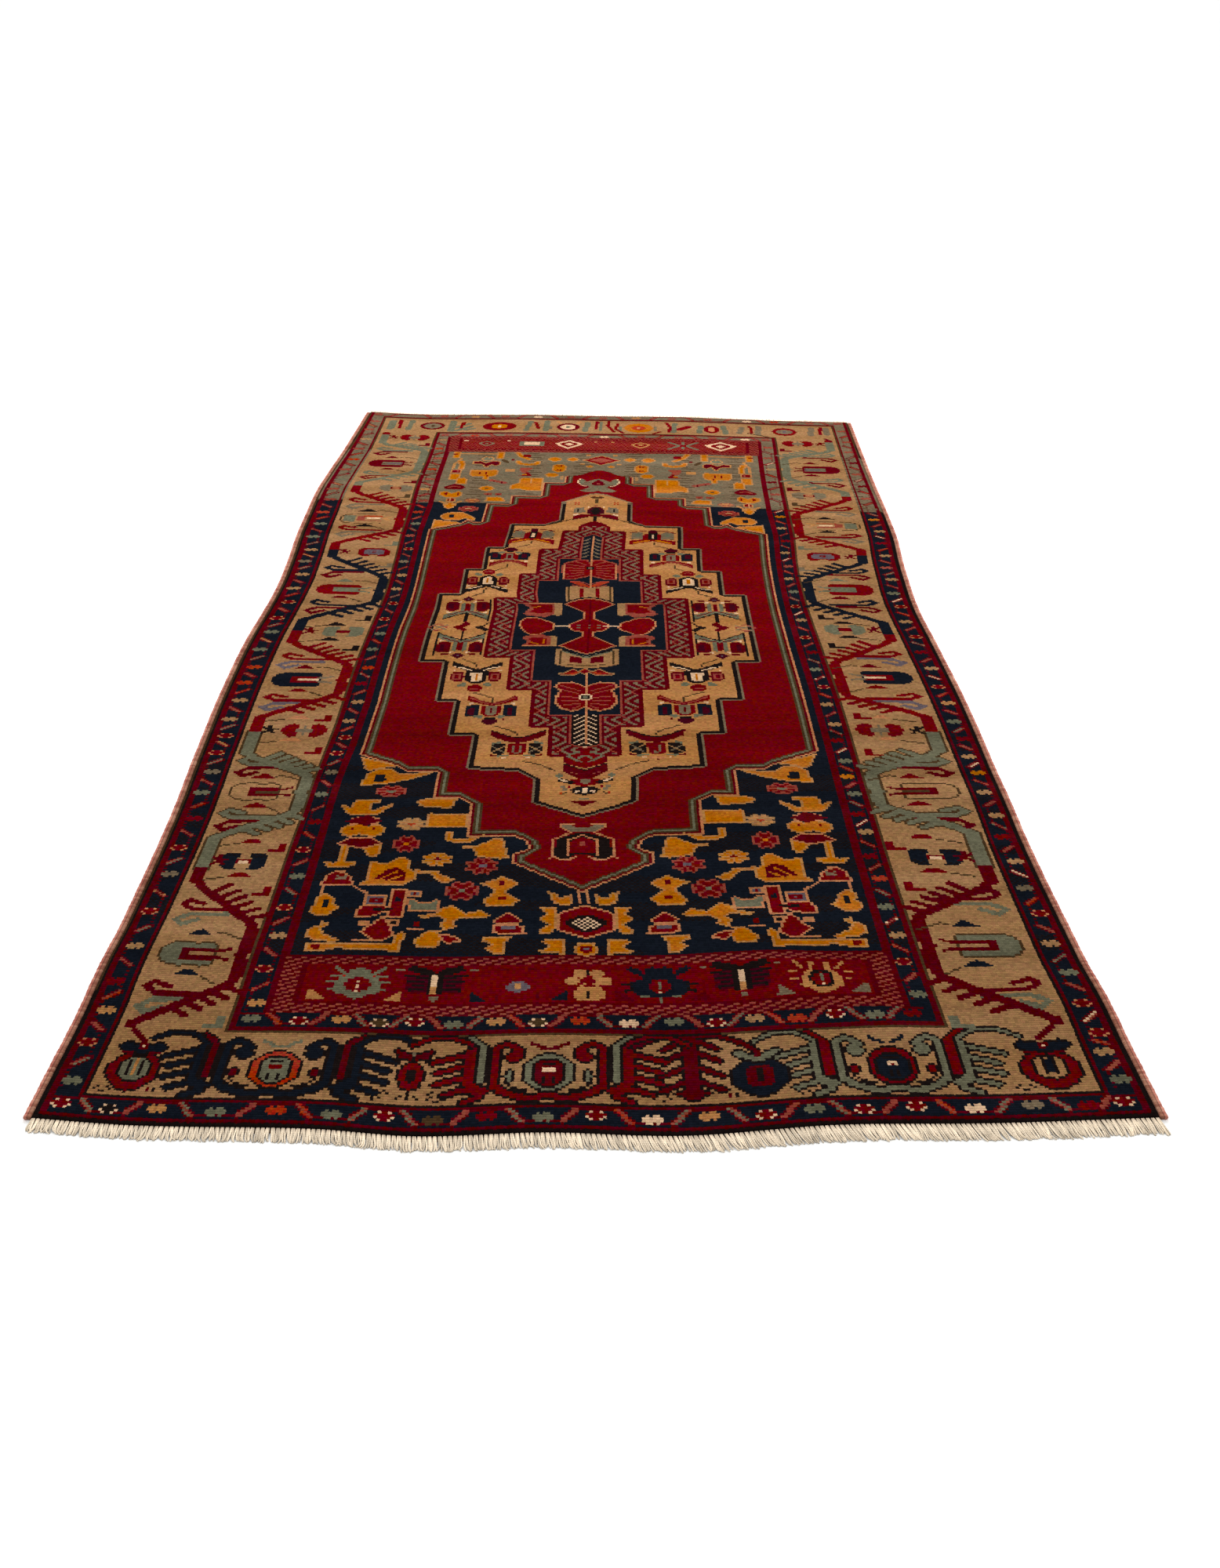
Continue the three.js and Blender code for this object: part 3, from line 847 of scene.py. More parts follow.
# %% Flower heads of the medallion
WIDE_HEAD = """
-wine 12.4,17.6 11.8,12 5,6.8 0,5 0,10.6 4,11.6
-black ~ 12,17 4,11.4 0,10.4
-black 5,5.4 9.6,5 11.4,2 11.4,-3 8,-4.6 4.6,-4.4
-red 4,5.4 3.8,-2.6 2.4,-4.8 0,-5.4 0,5.4
-grey ~ 1.4,3 1.4,-2.6 0,-3.6
-beige ~0.8 5.4,2.6 10.4,-2.4
-grey ~0.8 5.6,-2.4 10.4,2.6
-sage ~1.6 8,6 10.4,5
-sage ~1.6 4,-5.4 7.6,-5.8
-wine ~1.2 9,-5.4 11,-5
-peach ~3 0,-8 2,-8
-cream ~1 4.6,-7 5.6,-7.6
-wine ~1 0,-9.2
"""
BOX_HEAD = """
-red 11,15 11.4,10 6,6.6 0,4.6 0,7.4 5,10
-rose ~ 10,12.6 5,8.4 0,6.2
-cream ~2.2 9.8,7
-navy 5.4,5.4 11.4,5 11.6,-5.4 6,-6 5.4,-2
-plum ~2.8 8.6,1 8.6,-3
-red 4.8,5 4.6,-2 2.4,-5 0,-5.4 0,5
-grey 2.6,4.6 2.2,-3.4 1,-4.4 0,-4.4 0,4.6
-wine ~ 0.4,2.6 0.4,-2
-sage ~2.8 4.4,-5.6 5.6,-5.4
-black ~2 0,-7.2 1.4,-7.2
-wine ~1.4 6.4,-8.4
-plum 4,-8 3.6,-11 0,-13.8 0,-8
"""
OVAL_HEAD = """
-black 11.8,16 11.8,11.6 8,8.4 4,6.4 0,6 0,8 4,10.6 8,13.6
-cream ~ 10.4,10.6 7,9.6 3,7
-cream ~1.8 10.6,7
-black 5.4,6.4 5.2,-3 3,-6 0,-7 0,6.4
-cream 2.8,4.8 2.6,-3 1.6,-4.6 0,-5 0,4.8
-orange ~1.2 0,2.6 0,-2.6
-wine 6,5.4 11,5.6 12,3 12,-2 10,-5 6.4,-4.6 5.6,0
-rose ~ 7.4,2.8 10.4,2.6 10.4,-2.4 7.6,-2.4 7.4,2.8
-red ~1.4 8.8,1.4 8.8,-1
-sage ~3.4 5.4,-7.4 6.4,-8.4
-red ~7.4 0,-11.4
-rose ~1 2,-11.6 0,-12.6
"""
ROOF_HEAD = """
-sage 11.2,15.4 11.4,10 6,6.4 0,4.4 0,7 6,10.8
-black ~ 11.2,15.4 6,11.6 1,8.4
-wine ~ 9.6,11 4,7 1,5.6
-cream ~2 9.8,7.4
-wine 5,5 7.6,6.4 10.6,5 11.6,1 11.4,-5 8,-6.4 5,-5.6 4.4,0
-plum ~3 8.6,1.6 8.6,-3
-sage 1.6,4.8 3.8,4.6 3.8,-4 1.6,-5
-red 1.4,5 1.4,-3.4 0,-3.8 0,5
-wine ~ 0.4,3 0.4,-2
-cream ~2.2 4,-5.6
-wine ~1.6 5.4,-7.8 8,-8.2
-plum 0,-6.6 3.6,-9 0,-13.4
-lilac ~1.8 0,-9.4
"""
PALE_HEAD = """
-red 12.6,12.6 12.6,6 8,4.6 0,3.4 0,6.4 6,9
-orange ~1.6 10,9.4 6,7 2,5.4
-black ~2.4 10.8,2.6
-grey 5,3.6 11,3 12,-1 11,-6.6 7,-8 5,-6
-sage ~2.4 8,-1.6 8,-4.6
-red 5,4 5,-3 3.4,-5.4 0,-6 0,4
-black 2.4,4 2.4,-6 1.4,-8 0,-9 0,4
-cream ~ 0.4,2 0.4,-4
-plum ~5 0,-8.6
-wine ~ 3.4,-9.4 8,-9 12,-6.4
"""
HEADS = [
    (WIDE_HEAD, 131, 189.4, 226, 1), (BOX_HEAD, 117.4, 202.6, 261.4, 1),
    (OVAL_HEAD, 108.2, 209.8, 294.6, 1), (ROOF_HEAD, 97.6, 222.4, 327, 1),
    (ROOF_HEAD, 96.4, 223, 375, -1), (OVAL_HEAD, 105.8, 211, 408.8, -1),
    (BOX_HEAD, 116, 202.6, 443, -1), (PALE_HEAD, 126, 192.4, 474, -1),
]
print("flower heads:", 2 * len(HEADS))

# %% Heads on the middle line, hearts and stems
LOW_HEAD = """
-wine 0,207.4 3,208.6 9,212.8 9,207 4,201 0,200
-black ~ 0,207.6 3,209 9,213.2
-rose ~ 3,204.4 6,205.6
-red 0,201 6,200 6.4,197 3,194.6 0,194.4
-grey ~4 0,198.4
-sage ~3.4 10.4,203
-black ~2.6 10.2,199.4 5.6,197.4
-cream ~ 10.6,200.4 7,198
-black 0,194.4 4,194 5.6,191.4 4,188.6 0,187
-navy ~4 0,191.4
-cream ~ 0.5,192.6 0.5,189.4
-cream ~ 2.6,191 3.6,189.6
-red ~1.6 6.6,194
-grey ~2 9,194.4 8,192
-olive ~ 7,189.6 9,188.6
-coral ~1.4 9.8,189
-sage ~1.4 1,184.8
-wine 0,182.6 5,182.6 0,178.6
"""
TOP_HEAD = """
-wine 0,508 8,508 12.6,505.4 13,500 10,500.6 4,504.4 0,506
-olive ~ 13,499.6 4,503.8 0,505.4
-cream ~1.8 10.6,507.8 12,507
-plum 0,507 5,509.6 5.4,514 3,519.6 0,520
-black 0,508 2.4,509 2.6,515 1,519 0,519
-grey 6,511 12.6,509.6 13.4,514 12,519 7,519.6
-black ~ 8,512 8,517
-black ~ 10.6,512 10.6,517
-cream ~2 4.6,520
-rose ~2.6 0,522
-olive ~ 0.4,527 0.4,535
-coral ~ 10,524 13,529
-coral ~ 13,524 10,529
-olive ~3.6 2,538.4 1.4,537.4
-wine ~1.6 2,538.4
-black ~ 0.4,505 0.4,497.6
"""
HEARTS = """
-wine 69,350 65,352.6 62.6,356.6 60.6,356 60,352 63,349.8 60.6,347 62,345 65.6,347.4
-black 50,356.6 53,352.6 58,350 54,347.4 51,344 50,347.6 52.6,350.4
-rose ~1 81,349.6 76,353.6 71,349.6 76,345.6 81,349.6
-grey ~1 79,352.6 71,347
-grey ~1 79,346.6 71,352.6
"""
STEMS = """
-olive ~ 26,215.6 19,212.6 12,207
-olive ~ 40,247 31,241.6 29,238
-olive ~ 52,279 42,273.6 42.4,268
-olive ~ 60.4,314 53,308.6 51.6,303
-black ~1.3 62.6,345 62.6,334
-black ~1.3 63,356 63,368
-olive ~ 62,388.6 56,392 54.6,399
-olive ~ 52,421.6 45,427 44,432
-olive ~ 41,456 34,461 33.6,466
-olive ~ 29,489.6 13,500.4
-black ~ 74.6,317 74.6,344
-black ~ 75,355 75,382
-black ~ 51.4,318 51.4,344
-black ~ 51.6,357 51.6,384
-olive ~ 38,424 38,454
"""
print("stems on each side:", STEMS.count("~"))

# %% The medallion and its flower heads
MEDALLION = """0,171 20,182 19.5,200 28,208 48,210 48,239 58.5,239 58.5,271 68,271 68,311 79.5,311
79.5,391
68,391 68,424 58,424 58,456 48,456 48,491 29,491 20,498 20,529 12,536 6,543 0,545"""
medallion = mirror_outline(MEDALLION)
chart[grown(medallion)] = wool("grey")
layers(medallion, ["black", "black", "tan"])
chart[medallion & ~shrunk(shrunk(medallion)) & (along > 529)] = wool("beige")
motif(STEMS, (MIDDLE, 0))
motif(HEARTS, (MIDDLE, 0))
for text, left, right, row, way in HEADS:
    motif(text, (left, row), (1, way))
    motif(text, (right, row), (1, way))
motif(LOW_HEAD, (MIDDLE, 0))
motif(TOP_HEAD, (MIDDLE, 0))
print("knots of the medallion:", int(medallion.sum()))

# %% [markdown]
# A wine band with grey zigzags runs round the core. Drawn line by line it would need a hundred
# points. Stripes whose slope turns every nine rows give the same look from one formula.

# %% The band round the core
BAND = """0,210 8,214 8,220 14.5,220 14.5,246 24,246 24,282 36,282 36,316 49,316 49,386 36,386 36,418
27,418 27,454 17,454 17,482 8,482 8,489 5,494 0,497"""
BAND_ENDS = """
-red 0,209.4 8,213.4 8,220 0,226
-sage ~1.2 1,214 7,219.4
-sage ~1.2 1,219.4 4,216
-sage ~1.4 2,223 7,221
-wine 0,489.6 8,489.6 5,494 0,497
-rose ~1 1,484 5,488
"""
ring = mirror_outline(BAND)
chart[grown(ring)] = wool("wine")
from_middle = np.abs(across - MIDDLE)
turning = np.abs(along % 18 - 9)
chart[shrunk(ring) & ((from_middle + turning) % 5 < 2)] = wool("grey")
chart[shrunk(ring) & ((from_middle - turning) % 10 < 1)] = wool("rose")
motif(BAND_ENDS, (MIDDLE, 0))
print("grey knots:", knots_of("grey"))

# %% [markdown]
# The navy core is checked at its foot and has arrow marks at its head. Winged figures, brackets and
# two round flowers grow between them along a thin middle line.

# %% What grows in the core
LOW_WINGS = """
-peach 0,11 6,15.6 12.4,15 14.6,10.6 12,6.4 13.6,2 14,-6 11.4,-11 7,-13.8 3,-13 0,-10
-red 0,10 6,14.4 12,13.8 13.4,10.4 10.8,6.6 12.4,2 12.8,-5.4 10.4,-10 7,-12.6 3,-11.8 0,-8.6
-rose ~ 2,6 12,12
-rose ~ 3,3.4 11,7.6
-rose ~ 3,-0.6 11,1
-rose ~ 3,-3.6 12,-3
-rose ~ 2,-6 10,-8
-rose ~ 2,-8.6 6,-11
-cream ~6.4 0,0
-black ~5 0,0
-sage ~2 0,0
"""
HIGH_WINGS = """
-rose 0,6 1,11.6 6,12.8 11,9 14.4,6 14.8,-1 14,-16 8,-16 0,-11
-red 0,5 2,10.4 6,11.4 10,8 13.2,5 13.4,-1 12.8,-14.6 8,-14.6 0,-9.6
-rose ~ 2,4 8,9.4
-rose ~ 3,2 12,5
-rose ~ 3,-1 12.6,0.6
-rose ~ 3,-3.6 12.6,-4
-rose ~ 3,-6 12.6,-8.6
-rose ~ 3,-8.6 12,-12.6
-peach ~1 13.8,5 13.8,-15
-black ~4.6 0,0
-grey ~2 0,0
"""
CENTRE = """
red 0,319.6 13,328.6 3.6,337.6 2.4,339 2.4,344.6 7,346.6 8.8,349 8.8,353.4 6,357 2.4,360 0,360
& 0,359 2.4,359 2.2,369 4.4,371 12.4,378.6 6,383.6 0,385.6
-sage ~1.2 5,349.4
-sage ~1.2 5,352.6
"""
MIDDLE_LINES = """
-peach ~ 0.5,230 0.5,271
-peach ~ 0.5,277 0.5,299
-wine ~ 0.5,321 0.5,384
-sage ~ 0.5,349 0.5,350
-sage ~ 0.5,352 0.5,353
-peach ~ 0.5,400 0.5,425
-peach ~ 0.5,430 0.5,475
"""
ROUND_FLOWER = """
-cream ~1 8,351.4 16,351.4
red 33.4,357 31,360.6 26,361.4 22,358.6 17.4,355 16.4,350 17,347 21,344.6 24,342 28,342 30,345 32.4,350
"""
LOW_BRACKET = """
-beige 0,316.6 13,325 15.4,325.4 15.4,308.4 10,305.4 0,303.4
-sage 0,316.6 12,324.4 12,322 2,315.6 0,315
-black ~ 1,316.4 4,318.6 12,324
-wine 2,309.4 8.4,309.8 8.4,317.4 2,315
-olive ~ 12.6,308.6 12.6,323
-olive ~ 0,306 9,307.6
red 0,304 3,301 6,303 10,299.6 13,298.4 12,295.6 5,296 2,299 0,297
-coral 0,303 3,300 10,298.4 5,297
"""
HIGH_BRACKET = """
-beige 0,387 5,385.6 12.4,381 12.4,400 8,402.6 0,400
-cream ~ 12,382 12,400
-olive ~ 10.4,383 10.4,401
-olive ~ 8,385 8,401
-red 2.6,388 4.8,387 4.8,399 2.6,399
-black ~ 12.6,380.6 6,385.6 0,387.4
-cream ~ 0,390 0,399
-coral 0,400 4,402 9,406.4 10,408.4 6,408.4 2,404.4 0,403
-rose ~1 0,404.4 5,408 10,408.6
-rose ~1 3,400.6 9,403.6
"""
BRACKET = """
-beige 0,7.6 4.6,7.6 4.6,-7.4 1.4,-7.6 0,-6
rose 4.8,6.6 18.6,6.6 17,3.4 15.6,1 18,-3 19,-6.4 13,-7.6 9,-9 5,-5.6
-red 5.4,5.6 17,5.6 14.6,1 17,-4 11,-5 5.4,-3.6
-orange ~ 8,4 8,-2
-orange ~ 11,4 15,2
-peach ~ 4.6,7.4 19,7
"""
print("ribs on a low wing:", LOW_WINGS.count("rose"))

# %% The core
CORE = """0,227 6,230 6,257 15.5,257 15.5,291 25,291 25,324 37,324 37,379 26,379 26,409 15.5,409
15.5,440
5,440 5,472 0,478"""
core = mirror_outline(CORE)
chart[grown(grown(core))] = wool("wine")
chart[grown(core)] = wool("rose")
chart[core] = wool("navy")
foot = core & (along < 257)
chart[foot] = wool("black")
chart[foot & ((from_middle + along) % 4 < 1) & (from_middle < 5)] = wool("cream")
for row in range(443, 472, 5):
    motif("-grey ~1.3 1,3 4.4,-0.6", (MIDDLE, row))
motif(LOW_WINGS, (MIDDLE, 274))
motif(HIGH_WINGS, (MIDDLE, 427))
motif(LOW_BRACKET, (MIDDLE, 0), edge="beige", inside=True)
motif(HIGH_BRACKET, (MIDDLE, 0))
motif(CENTRE, (MIDDLE, 0), edge="peach")
motif(MIDDLE_LINES, (MIDDLE, 0), twin=False)
motif(ROUND_FLOWER, (MIDDLE - 1, 0), edge="peach")
for side in (-1, 1):
    motif(BRACKET, (MIDDLE + side * 14, 372), (side, 1), edge="rose", twin=False)
    motif(BRACKET, (MIDDLE + side * 15, 334), (side * 0.86, -0.8), edge="rose", twin=False)
print("knots of the core:", int(core.sum()))

# %% [markdown]
# Below and above the medallion the navy ground is strewn with birds, leaves and hooked flowers.
# Their thin bright edge lies on the figure's own outermost knots, so those shapes are laid from the
# inside. All are charted once and mirrored.

# %% Orange figures of the lower field
LOWER_ORANGE = """
orange 94,220.6 90,209 88,207.6 84,210 76,212
orange 90,196 89,205 85,210 79,210 76,206 66,206.6 62,208 62,206 70,201 80,197
-navy 84.6,199 84.6,204.6 81,204.6 80,200 82,199
orange 90.4,184.6 80,184.6 80,182.4 82.6,182 82.6,176.6 75.6,181.8 75,180 80,173.4 91.4,173.4
& 87.6,182.4 87.6,176.6 95,181.8 95.4,180 91.4,173.4 82,173.4
orange ~7.6 80,161 80,162.6
& ~7.6 89,161 89,162.6
& 80,164 88,168 90,160 80,157
-red ~2 80.6,163
-red ~2 88.6,163
orange 75.6,152 84,151 82,147 79.6,143 77,143 76,147
orange ~2.6 89.6,152 89.6,140
& 84,140 83.6,137 88,136 94,136.4 96.6,140.4 93,139.4
orange 94,119.4 91.6,119.4 88,115 87.4,112 85.4,109.6 88,107 89.4,105.4 94,105.4 96,107.6 96,110
+94.4,112 95,115
-navy 92.4,109.6 90,110 90.4,115 91.6,115
orange 79.4,140 76,139.6 73,138.6 70,142 66.4,143.4 64,140 64,135 61.4,134 61,128 63,126 65.4,123.6
+82,123.6 79.4,127
orange 62,134.6 54,134.2 52,131.6 47.4,128.6 49,125.6 53,127 56,132 62,132
orange 90.4,101.8 87.4,100 90,97 89,94.6 83,90.6 84,89.4 90,89.6 95,92.4 95.6,95 94,98 91.4,99
orange 94.6,89.4 94,84.4 88,84 84,85.6 67,85 65,83.4 62.4,84 62,90 60.4,94 63,96 65,93.4 65,89.6
+67,88.6 84,88.6
-red ~3 90.4,86.6
orange 34,104 33,106 37,109 42,107 46,112 50,111 52,107 58,106 57,104 50,105 46,101 43,104
& 46,104 50,102 49,97 54,97 58,91 57,87 50,87 48,92 50,96 44,99
orange 38,125.6 33,128 30,130.6 27,128 23,125 27,122 28,120 23,115 26,110.6 34,110.6 36.4,114
+33.4,119 32.4,121.4
-wine ~3 30,125.4
-red ~3 29.6,116
-lilac ~1 29.6,116
orange 25,93.4 34,93.4 35.4,91 32,88.6 34.6,86.6 31,83.4 27,83.4 27,89
orange 45,164 61,164 61,173.6 60,174.6 45,173.6
orange 52,178 50,186 62,186 66,184 65,180 60,179
orange 37,159 40,158 46,155.6 50,155.6 50,161 53,161.6 53,155 49,153 43,153
orange 28,142 32,141.4 40,143 42,149 46,149.4 46,151 40,151.4 34,156 31,156
"""
CENTRE_FIGURES = """
orange 12.8,119.8 9.6,118.2 8,115.6 6,116.8 3.6,119.4 3.8,112.6 7,110.4 10.6,112 12,115
orange 10.4,110.4 17,110.4 14.6,107.4 13,106 17,103 14,101 12.6,99.4 16.4,96 15.6,94 11,94.6 10,99
orange 6.6,91.4 7,82.4 14.8,82.8 16,84.4 13,85.8 12.6,87 14.8,89 13.6,91.4
orange ~8 0,85.4
-red ~4 0,85.4
-lilac ~1.6 0,85.4
-peach ~ 1.2,112 1.2,120
"""
motif(LOWER_ORANGE + CENTRE_FIGURES, (MIDDLE, 0), edge="tan", inside=True)
print("orange knots:", knots_of("orange"))

# %% Red figures of the lower field
LOWER_RED = """
red ~6 81.6,168.6 87.6,168.6
-wine 78,168.6 84,173 92,168.6 84,165
wine 76,152 83,148.6 93,152 89,156.6 80,156.6
red 95,124 83,124 84,130 88,133 90,134.6 92,133 94,130
-grey ~1 86.6,128 90,131
-grey ~1 86,130.4 89.4,128
-rose ~1 84,127 92,127
-peach ~ 93.4,124 93.4,119.4
-peach ~ 83,124 77,118.6
red ~3 88,133
-wine 76,128 65,126.6 65,133 68,136 72,135
-orange ~1 68,133.6 74,128
-orange ~1 66,130.6 71,127.4
lilac 77.6,111.4 69.6,111.4 69.6,118 77.6,118
-red ~3.4 72.6,114.6 74.4,114.6
-lilac ~1 73.4,114.6
red 80.4,105 80,108 78,112 70,112 68.6,110 63,110 63,104.6 66,103.6 70,107 72,105 78,103.6
red 69,104 69,121.6 63,121.6 63,104
-black ~1.8 73,108.8 70,108.4 67.4,109.6
-navy ~2.6 66.2,115.4
red 70,106 66,98 65,94 68,90.4 72,90.4 77,95 76,97 74,99
-peach ~ 79,90.6 72,90.2
tan 78,102.4 74,102.4 74,99.4 78,99.4
-red ~1.2 76,101
peach 68,103 64,103 64,99 68,99
-black ~1.6 66,101
lilac 62.6,121.4 58,121.4 58,117 62.6,117
-red ~1.8 60.6,119
sage 63,116.6 60,116 58.4,113.6 54,114 52,116.4 51,113 51.4,108.4 60,108.4 62,108
-peach ~ 62,107 62,98 55,97.6
-red ~2.6 58,100.6
red 50,94.6 47,95.4 41,91 46,89 49,91
red 27,107.6 21.4,102 23,100 31,100 32,103
red 32,100 21,99.4 20.4,94 32,94.6
-lilac ~2.2 25,98.2 28.4,98.2
"""
CENTRE_RED = """
red 0,90.6 3,92.6 9.6,96 9.6,106 6,108.6 0,111.4
-black 0,94.6 3,96 6.6,98.6 6.6,101.6 3,104.6 0,105.4
"""
motif(LOWER_RED + CENTRE_RED, (MIDDLE, 0), edge="peach", inside=True)
checks = (across + along) % 2 < 1
chart[(from_middle / 6 + np.abs(along - 100) / 4.6 < 1) & checks] = wool("cream")
print("red knots of field and figures:", knots_of("red"))

# %% Arches on the middle line
ARCH = """
-grey 0,159.6 4.4,159.6 8.6,163.6 8.6,165 4,164.6 3,163 0,163
-peach ~ 4.6,159.6 8,163 8.6,165.6 3.6,165.4
-black 0,159 3,158.6 10.4,154.6 10.6,143.6 8.6,141 5.6,141.4 3,143.6 0,144.4
-peach ~ 4.6,159.4 11.4,154.4 11.4,142.4 13,141
-peach ~ 0,157.4 5.6,154 5.6,143.6
-peach ~ 2,143 5,140.6 8.6,140.4 10.4,143
-red 0,156 4.6,153.4 4.6,144.6 0,145.6
-rose ~2.6 0,151.4
"""
UPPER_ARCH = """
-grey 22.6,577.4 22.6,596 0,596 0,589.4 6,585.4 11,580.4 16,577.4
-red 0,588.6 6,584.6 11,579.6 16,576.6 16,572 0,572
-grey 0,548.6 9,548 11.4,550.6 8,553.4 5,556 7,559.6 11,560.6 12.6,566 12,572.6 9,571 7,566 4,569.6
+0,572
-cream ~ 11.8,571.6 12.4,565 10.4,560 7,558
-sage ~1.6 10,569 10.4,563
-wine 0,570.6 2.4,567 4.6,562 3,560.4 0,560
-rose ~2.4 0,562.8
-wine ~1.2 9,556 7.6,557
-sage ~1.4 1.6,557 1.6,553
-red ~1.6 0,549.6
"""
motif(ARCH, (MIDDLE, 0))
motif(UPPER_ARCH, (MIDDLE, 0))
print("cream knots:", knots_of("cream"))

# %% [markdown]
# Indigo wool came from the dye pot in several depths. Towards the far end the ground has turned
# grey with greenish and brown streaks, and at the front black streaks run through the navy. Sums of
# slow sines give streaks that wander from row to row as new balls of yarn do.

# %% Streaks in the navy ground
far_part = np.s_[525:623]
x, y, ground = across[far_part], along[far_part], chart[far_part]
ground[np.isin(ground, [wool("navy"), wool("black")])] = wool("grey")
streak = np.sin(y * 2.4 + 2 * np.sin(x / 17)) + 0.4 * np.sin(x / 5)
ground[(ground == wool("grey")) & (streak > 1.0)] = wool("sage")
ground[(ground == wool("grey")) & (streak < -1.15)] = wool("olive")
front_part = np.s_[82:240]
x, y, ground = across[front_part], along[front_part], chart[front_part]
streak = np.sin(y / 3.3 + np.sin(x / 23)) + np.sin(y / 7.9 + x / 31)
ground[(ground == wool("navy")) & (streak > 0.3) & checks[front_part]] = wool("black")
print("navy knots left:", knots_of("navy"))

# %% [markdown]
# Small rosettes ride on the steps of the red field. After them come the figures of the upper field,
# which are larger in knots than they look, as that end is far from the eye.

# %% Rosettes
ROSETTES = [
    (66.4, 166.4, (6, 5), "beige", "tan", "coral"), (67, 152, (5.6, 6.2), "rose", "red", "orange"),
    (54.6, 141.6, (5.8, 5), "tan", "orange", "red"), (37.8, 137, (6.4, 6), "rose", "red", "lilac"),
    (44, 121, (7, 6.4), "rose", "red", "sage"), (77, 191.4, (7, 4.8), "rose", "red", "sage"),
    (76, 514.6, (7, 4.8), "rose", "red", "beige"), (75, 528.6, (5, 4), "rose", "tan", "coral"),
]
for aside, row, reach, rim, petals, heart in ROSETTES:
    for column in (MIDDLE - aside, MIDDLE + aside):
        rosette((column, row), reach, petals, rim, heart)
print("rosettes:", 2 * len(ROSETTES))

# %% Figures of the upper field
UPPER_FIGURES = """
orange 94,497.6 92,496 80,493.8 78,491.6 94,482.6
orange 91.4,501 90,506 86,508.6 78,508.6 72,503 69.6,498 71,495.4 76,499.4 78,497 82,495.6 88,496.4
-navy 83,500 86.4,500 86.4,505 83,505
orange 92,521 90,515 88,513.6 85,517 84,521 86,524.6 91,524.6
-tan ~1.8 94,526 90,522
-tan ~1.8 86,522 82,527
red 91.4,526 85,526 85,530 88,533.6 91.4,530
-peach ~1 88.4,525 88.4,533
orange 91.4,533 85,533 81.6,537 82,543 85,545 88,541 92,544.6 95.6,543 95.6,537
-red ~1.6 91.8,538 91.8,541
-red ~1.6 84.4,538 84.4,541
-wine 94,552 88,558 83,556 81,552.4 82,548.6 90,547.6 94,549
-rose ~1.2 91,551.6 88,554 84,552
orange 88,558 80.6,558 80.6,566 83,571 88,569
orange 92.6,566 87.6,566 86,572 86,578 92.6,578
red 93.4,579 85.6,579 85.6,586 93.4,586
-rose ~ 93,579 93,586
-rose ~ 88.6,579 88.6,586
orange ~2 92.4,588 92.4,597 90,602 89,608
orange ~4.4 87,588 86.8,596 88.6,602
-sage ~1.6 90.4,589 90.4,595
orange 94.6,608.6 90,608.6 89.6,622 95,622
-red ~2.8 93.6,617
-tan ~2.6 90,618 64,618
orange 66.6,608 62,608 62,621.6 66.6,621.6
sage 75,603.6 70,603.6 67.6,607 69,612 74,612.6 76,608
-beige ~2 71.6,610
wine 81.4,597 81.4,603 76,603.6 72,600 68,604.6 63.6,603 62.6,597 66,594 69,597 70,591.4 72.6,591.4
+75,597
-plum ~2 66,600
orange 81,586 64,586.6 62.6,582 64,574 68,573 68,567 72,567.6 72,573 80,573.6 81.4,580
-red ~ 74,582 74.6,577
-red ~ 70.6,582 69.6,573
-red ~ 67,582 67,574
-tan 59,583 53,583 53,588 59,588
-olive ~3 62,606 59,601
-wine ~3 56,606 56,607
orange ~4 53.6,620 51,613 46,608
-red 50.4,612.4 44.6,612.4 44.6,617 50.4,617
orange ~4.2 52.4,603 51,598.6 45,597 40.6,598.6 39.6,602
-rose 50,590.6 42,590.6 44,586 45,583 42,581 48,581 50,586
-red 51,574.6 47,577 46,582 44.6,582 42,577 41.6,574.6
-orange ~2.6 46.4,578
-rose ~3.4 66,566 58,562
-wine ~ 65,563 64,565
-wine ~ 60,560 59,564
orange ~9.4 68,551
-olive ~2 68,551
-rose ~5 66.4,541
-rose ~5 60,541
-red ~1.6 66.4,540
-red ~1.6 60,540
orange 67.6,528 55,528 56,534 60,536.6 66.6,536
orange 53.6,550 48,551 43,548 34,548 33.6,572 48.4,572 49,562 53.6,558
-tan ~ 41.6,562 41.6,571
orange ~8.4 25.6,587.6 25.6,595
-red ~ 27.4,594 24,596.4
-red ~ 24,594 27.4,596.4
-red ~ 27.4,586.6 24,589
-red ~ 24,586.6 27.4,589
orange ~8.4 29.4,578
-beige ~2 22.6,570 22.6,576
orange ~8.6 29.4,608.6
orange ~7.6 18,609
red 0,598 12,607.6 0,617.4
-rose 0,602.6 7.6,607.6 0,612.6
orange ~3.4 8.4,617.6
orange ~4.4 6.6,595.4
-tan ~2.6 11.6,600
"""
motif(UPPER_FIGURES, (MIDDLE, 0), edge="tan", inside=True)
print("orange knots of both ends:", knots_of("orange"))

# %% [markdown]
# The last quarter was woven from a lighter dye lot. The dark wools of the narrow bands turn grey
# and brown there, which is quicker to do on the finished chart than in every table above.

# %% The lighter dye lot
def fade(window):
    """In this part of the chart, navy turns grey and black turns olive."""
    part = chart[window]
    part[part == wool("navy")] = wool("grey")
    part[part == wool("black")] = wool("olive")


for columns in (slice(1, 13), slice(49, 61), slice(259, 271), slice(307, 319)):
    fade(np.s_[523:, columns])
fade(np.s_[652:])
print("knots of the darkest two wools:", knots_of("black", "navy"), "of", chart.size)

# %% [markdown]
# The rug isn't quite straight. Its sides and ends wander, and it lifts off the floor in a few low
# ridges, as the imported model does. Each wandering line is a table of a few measured places, joined
# by smooth cubic pieces.

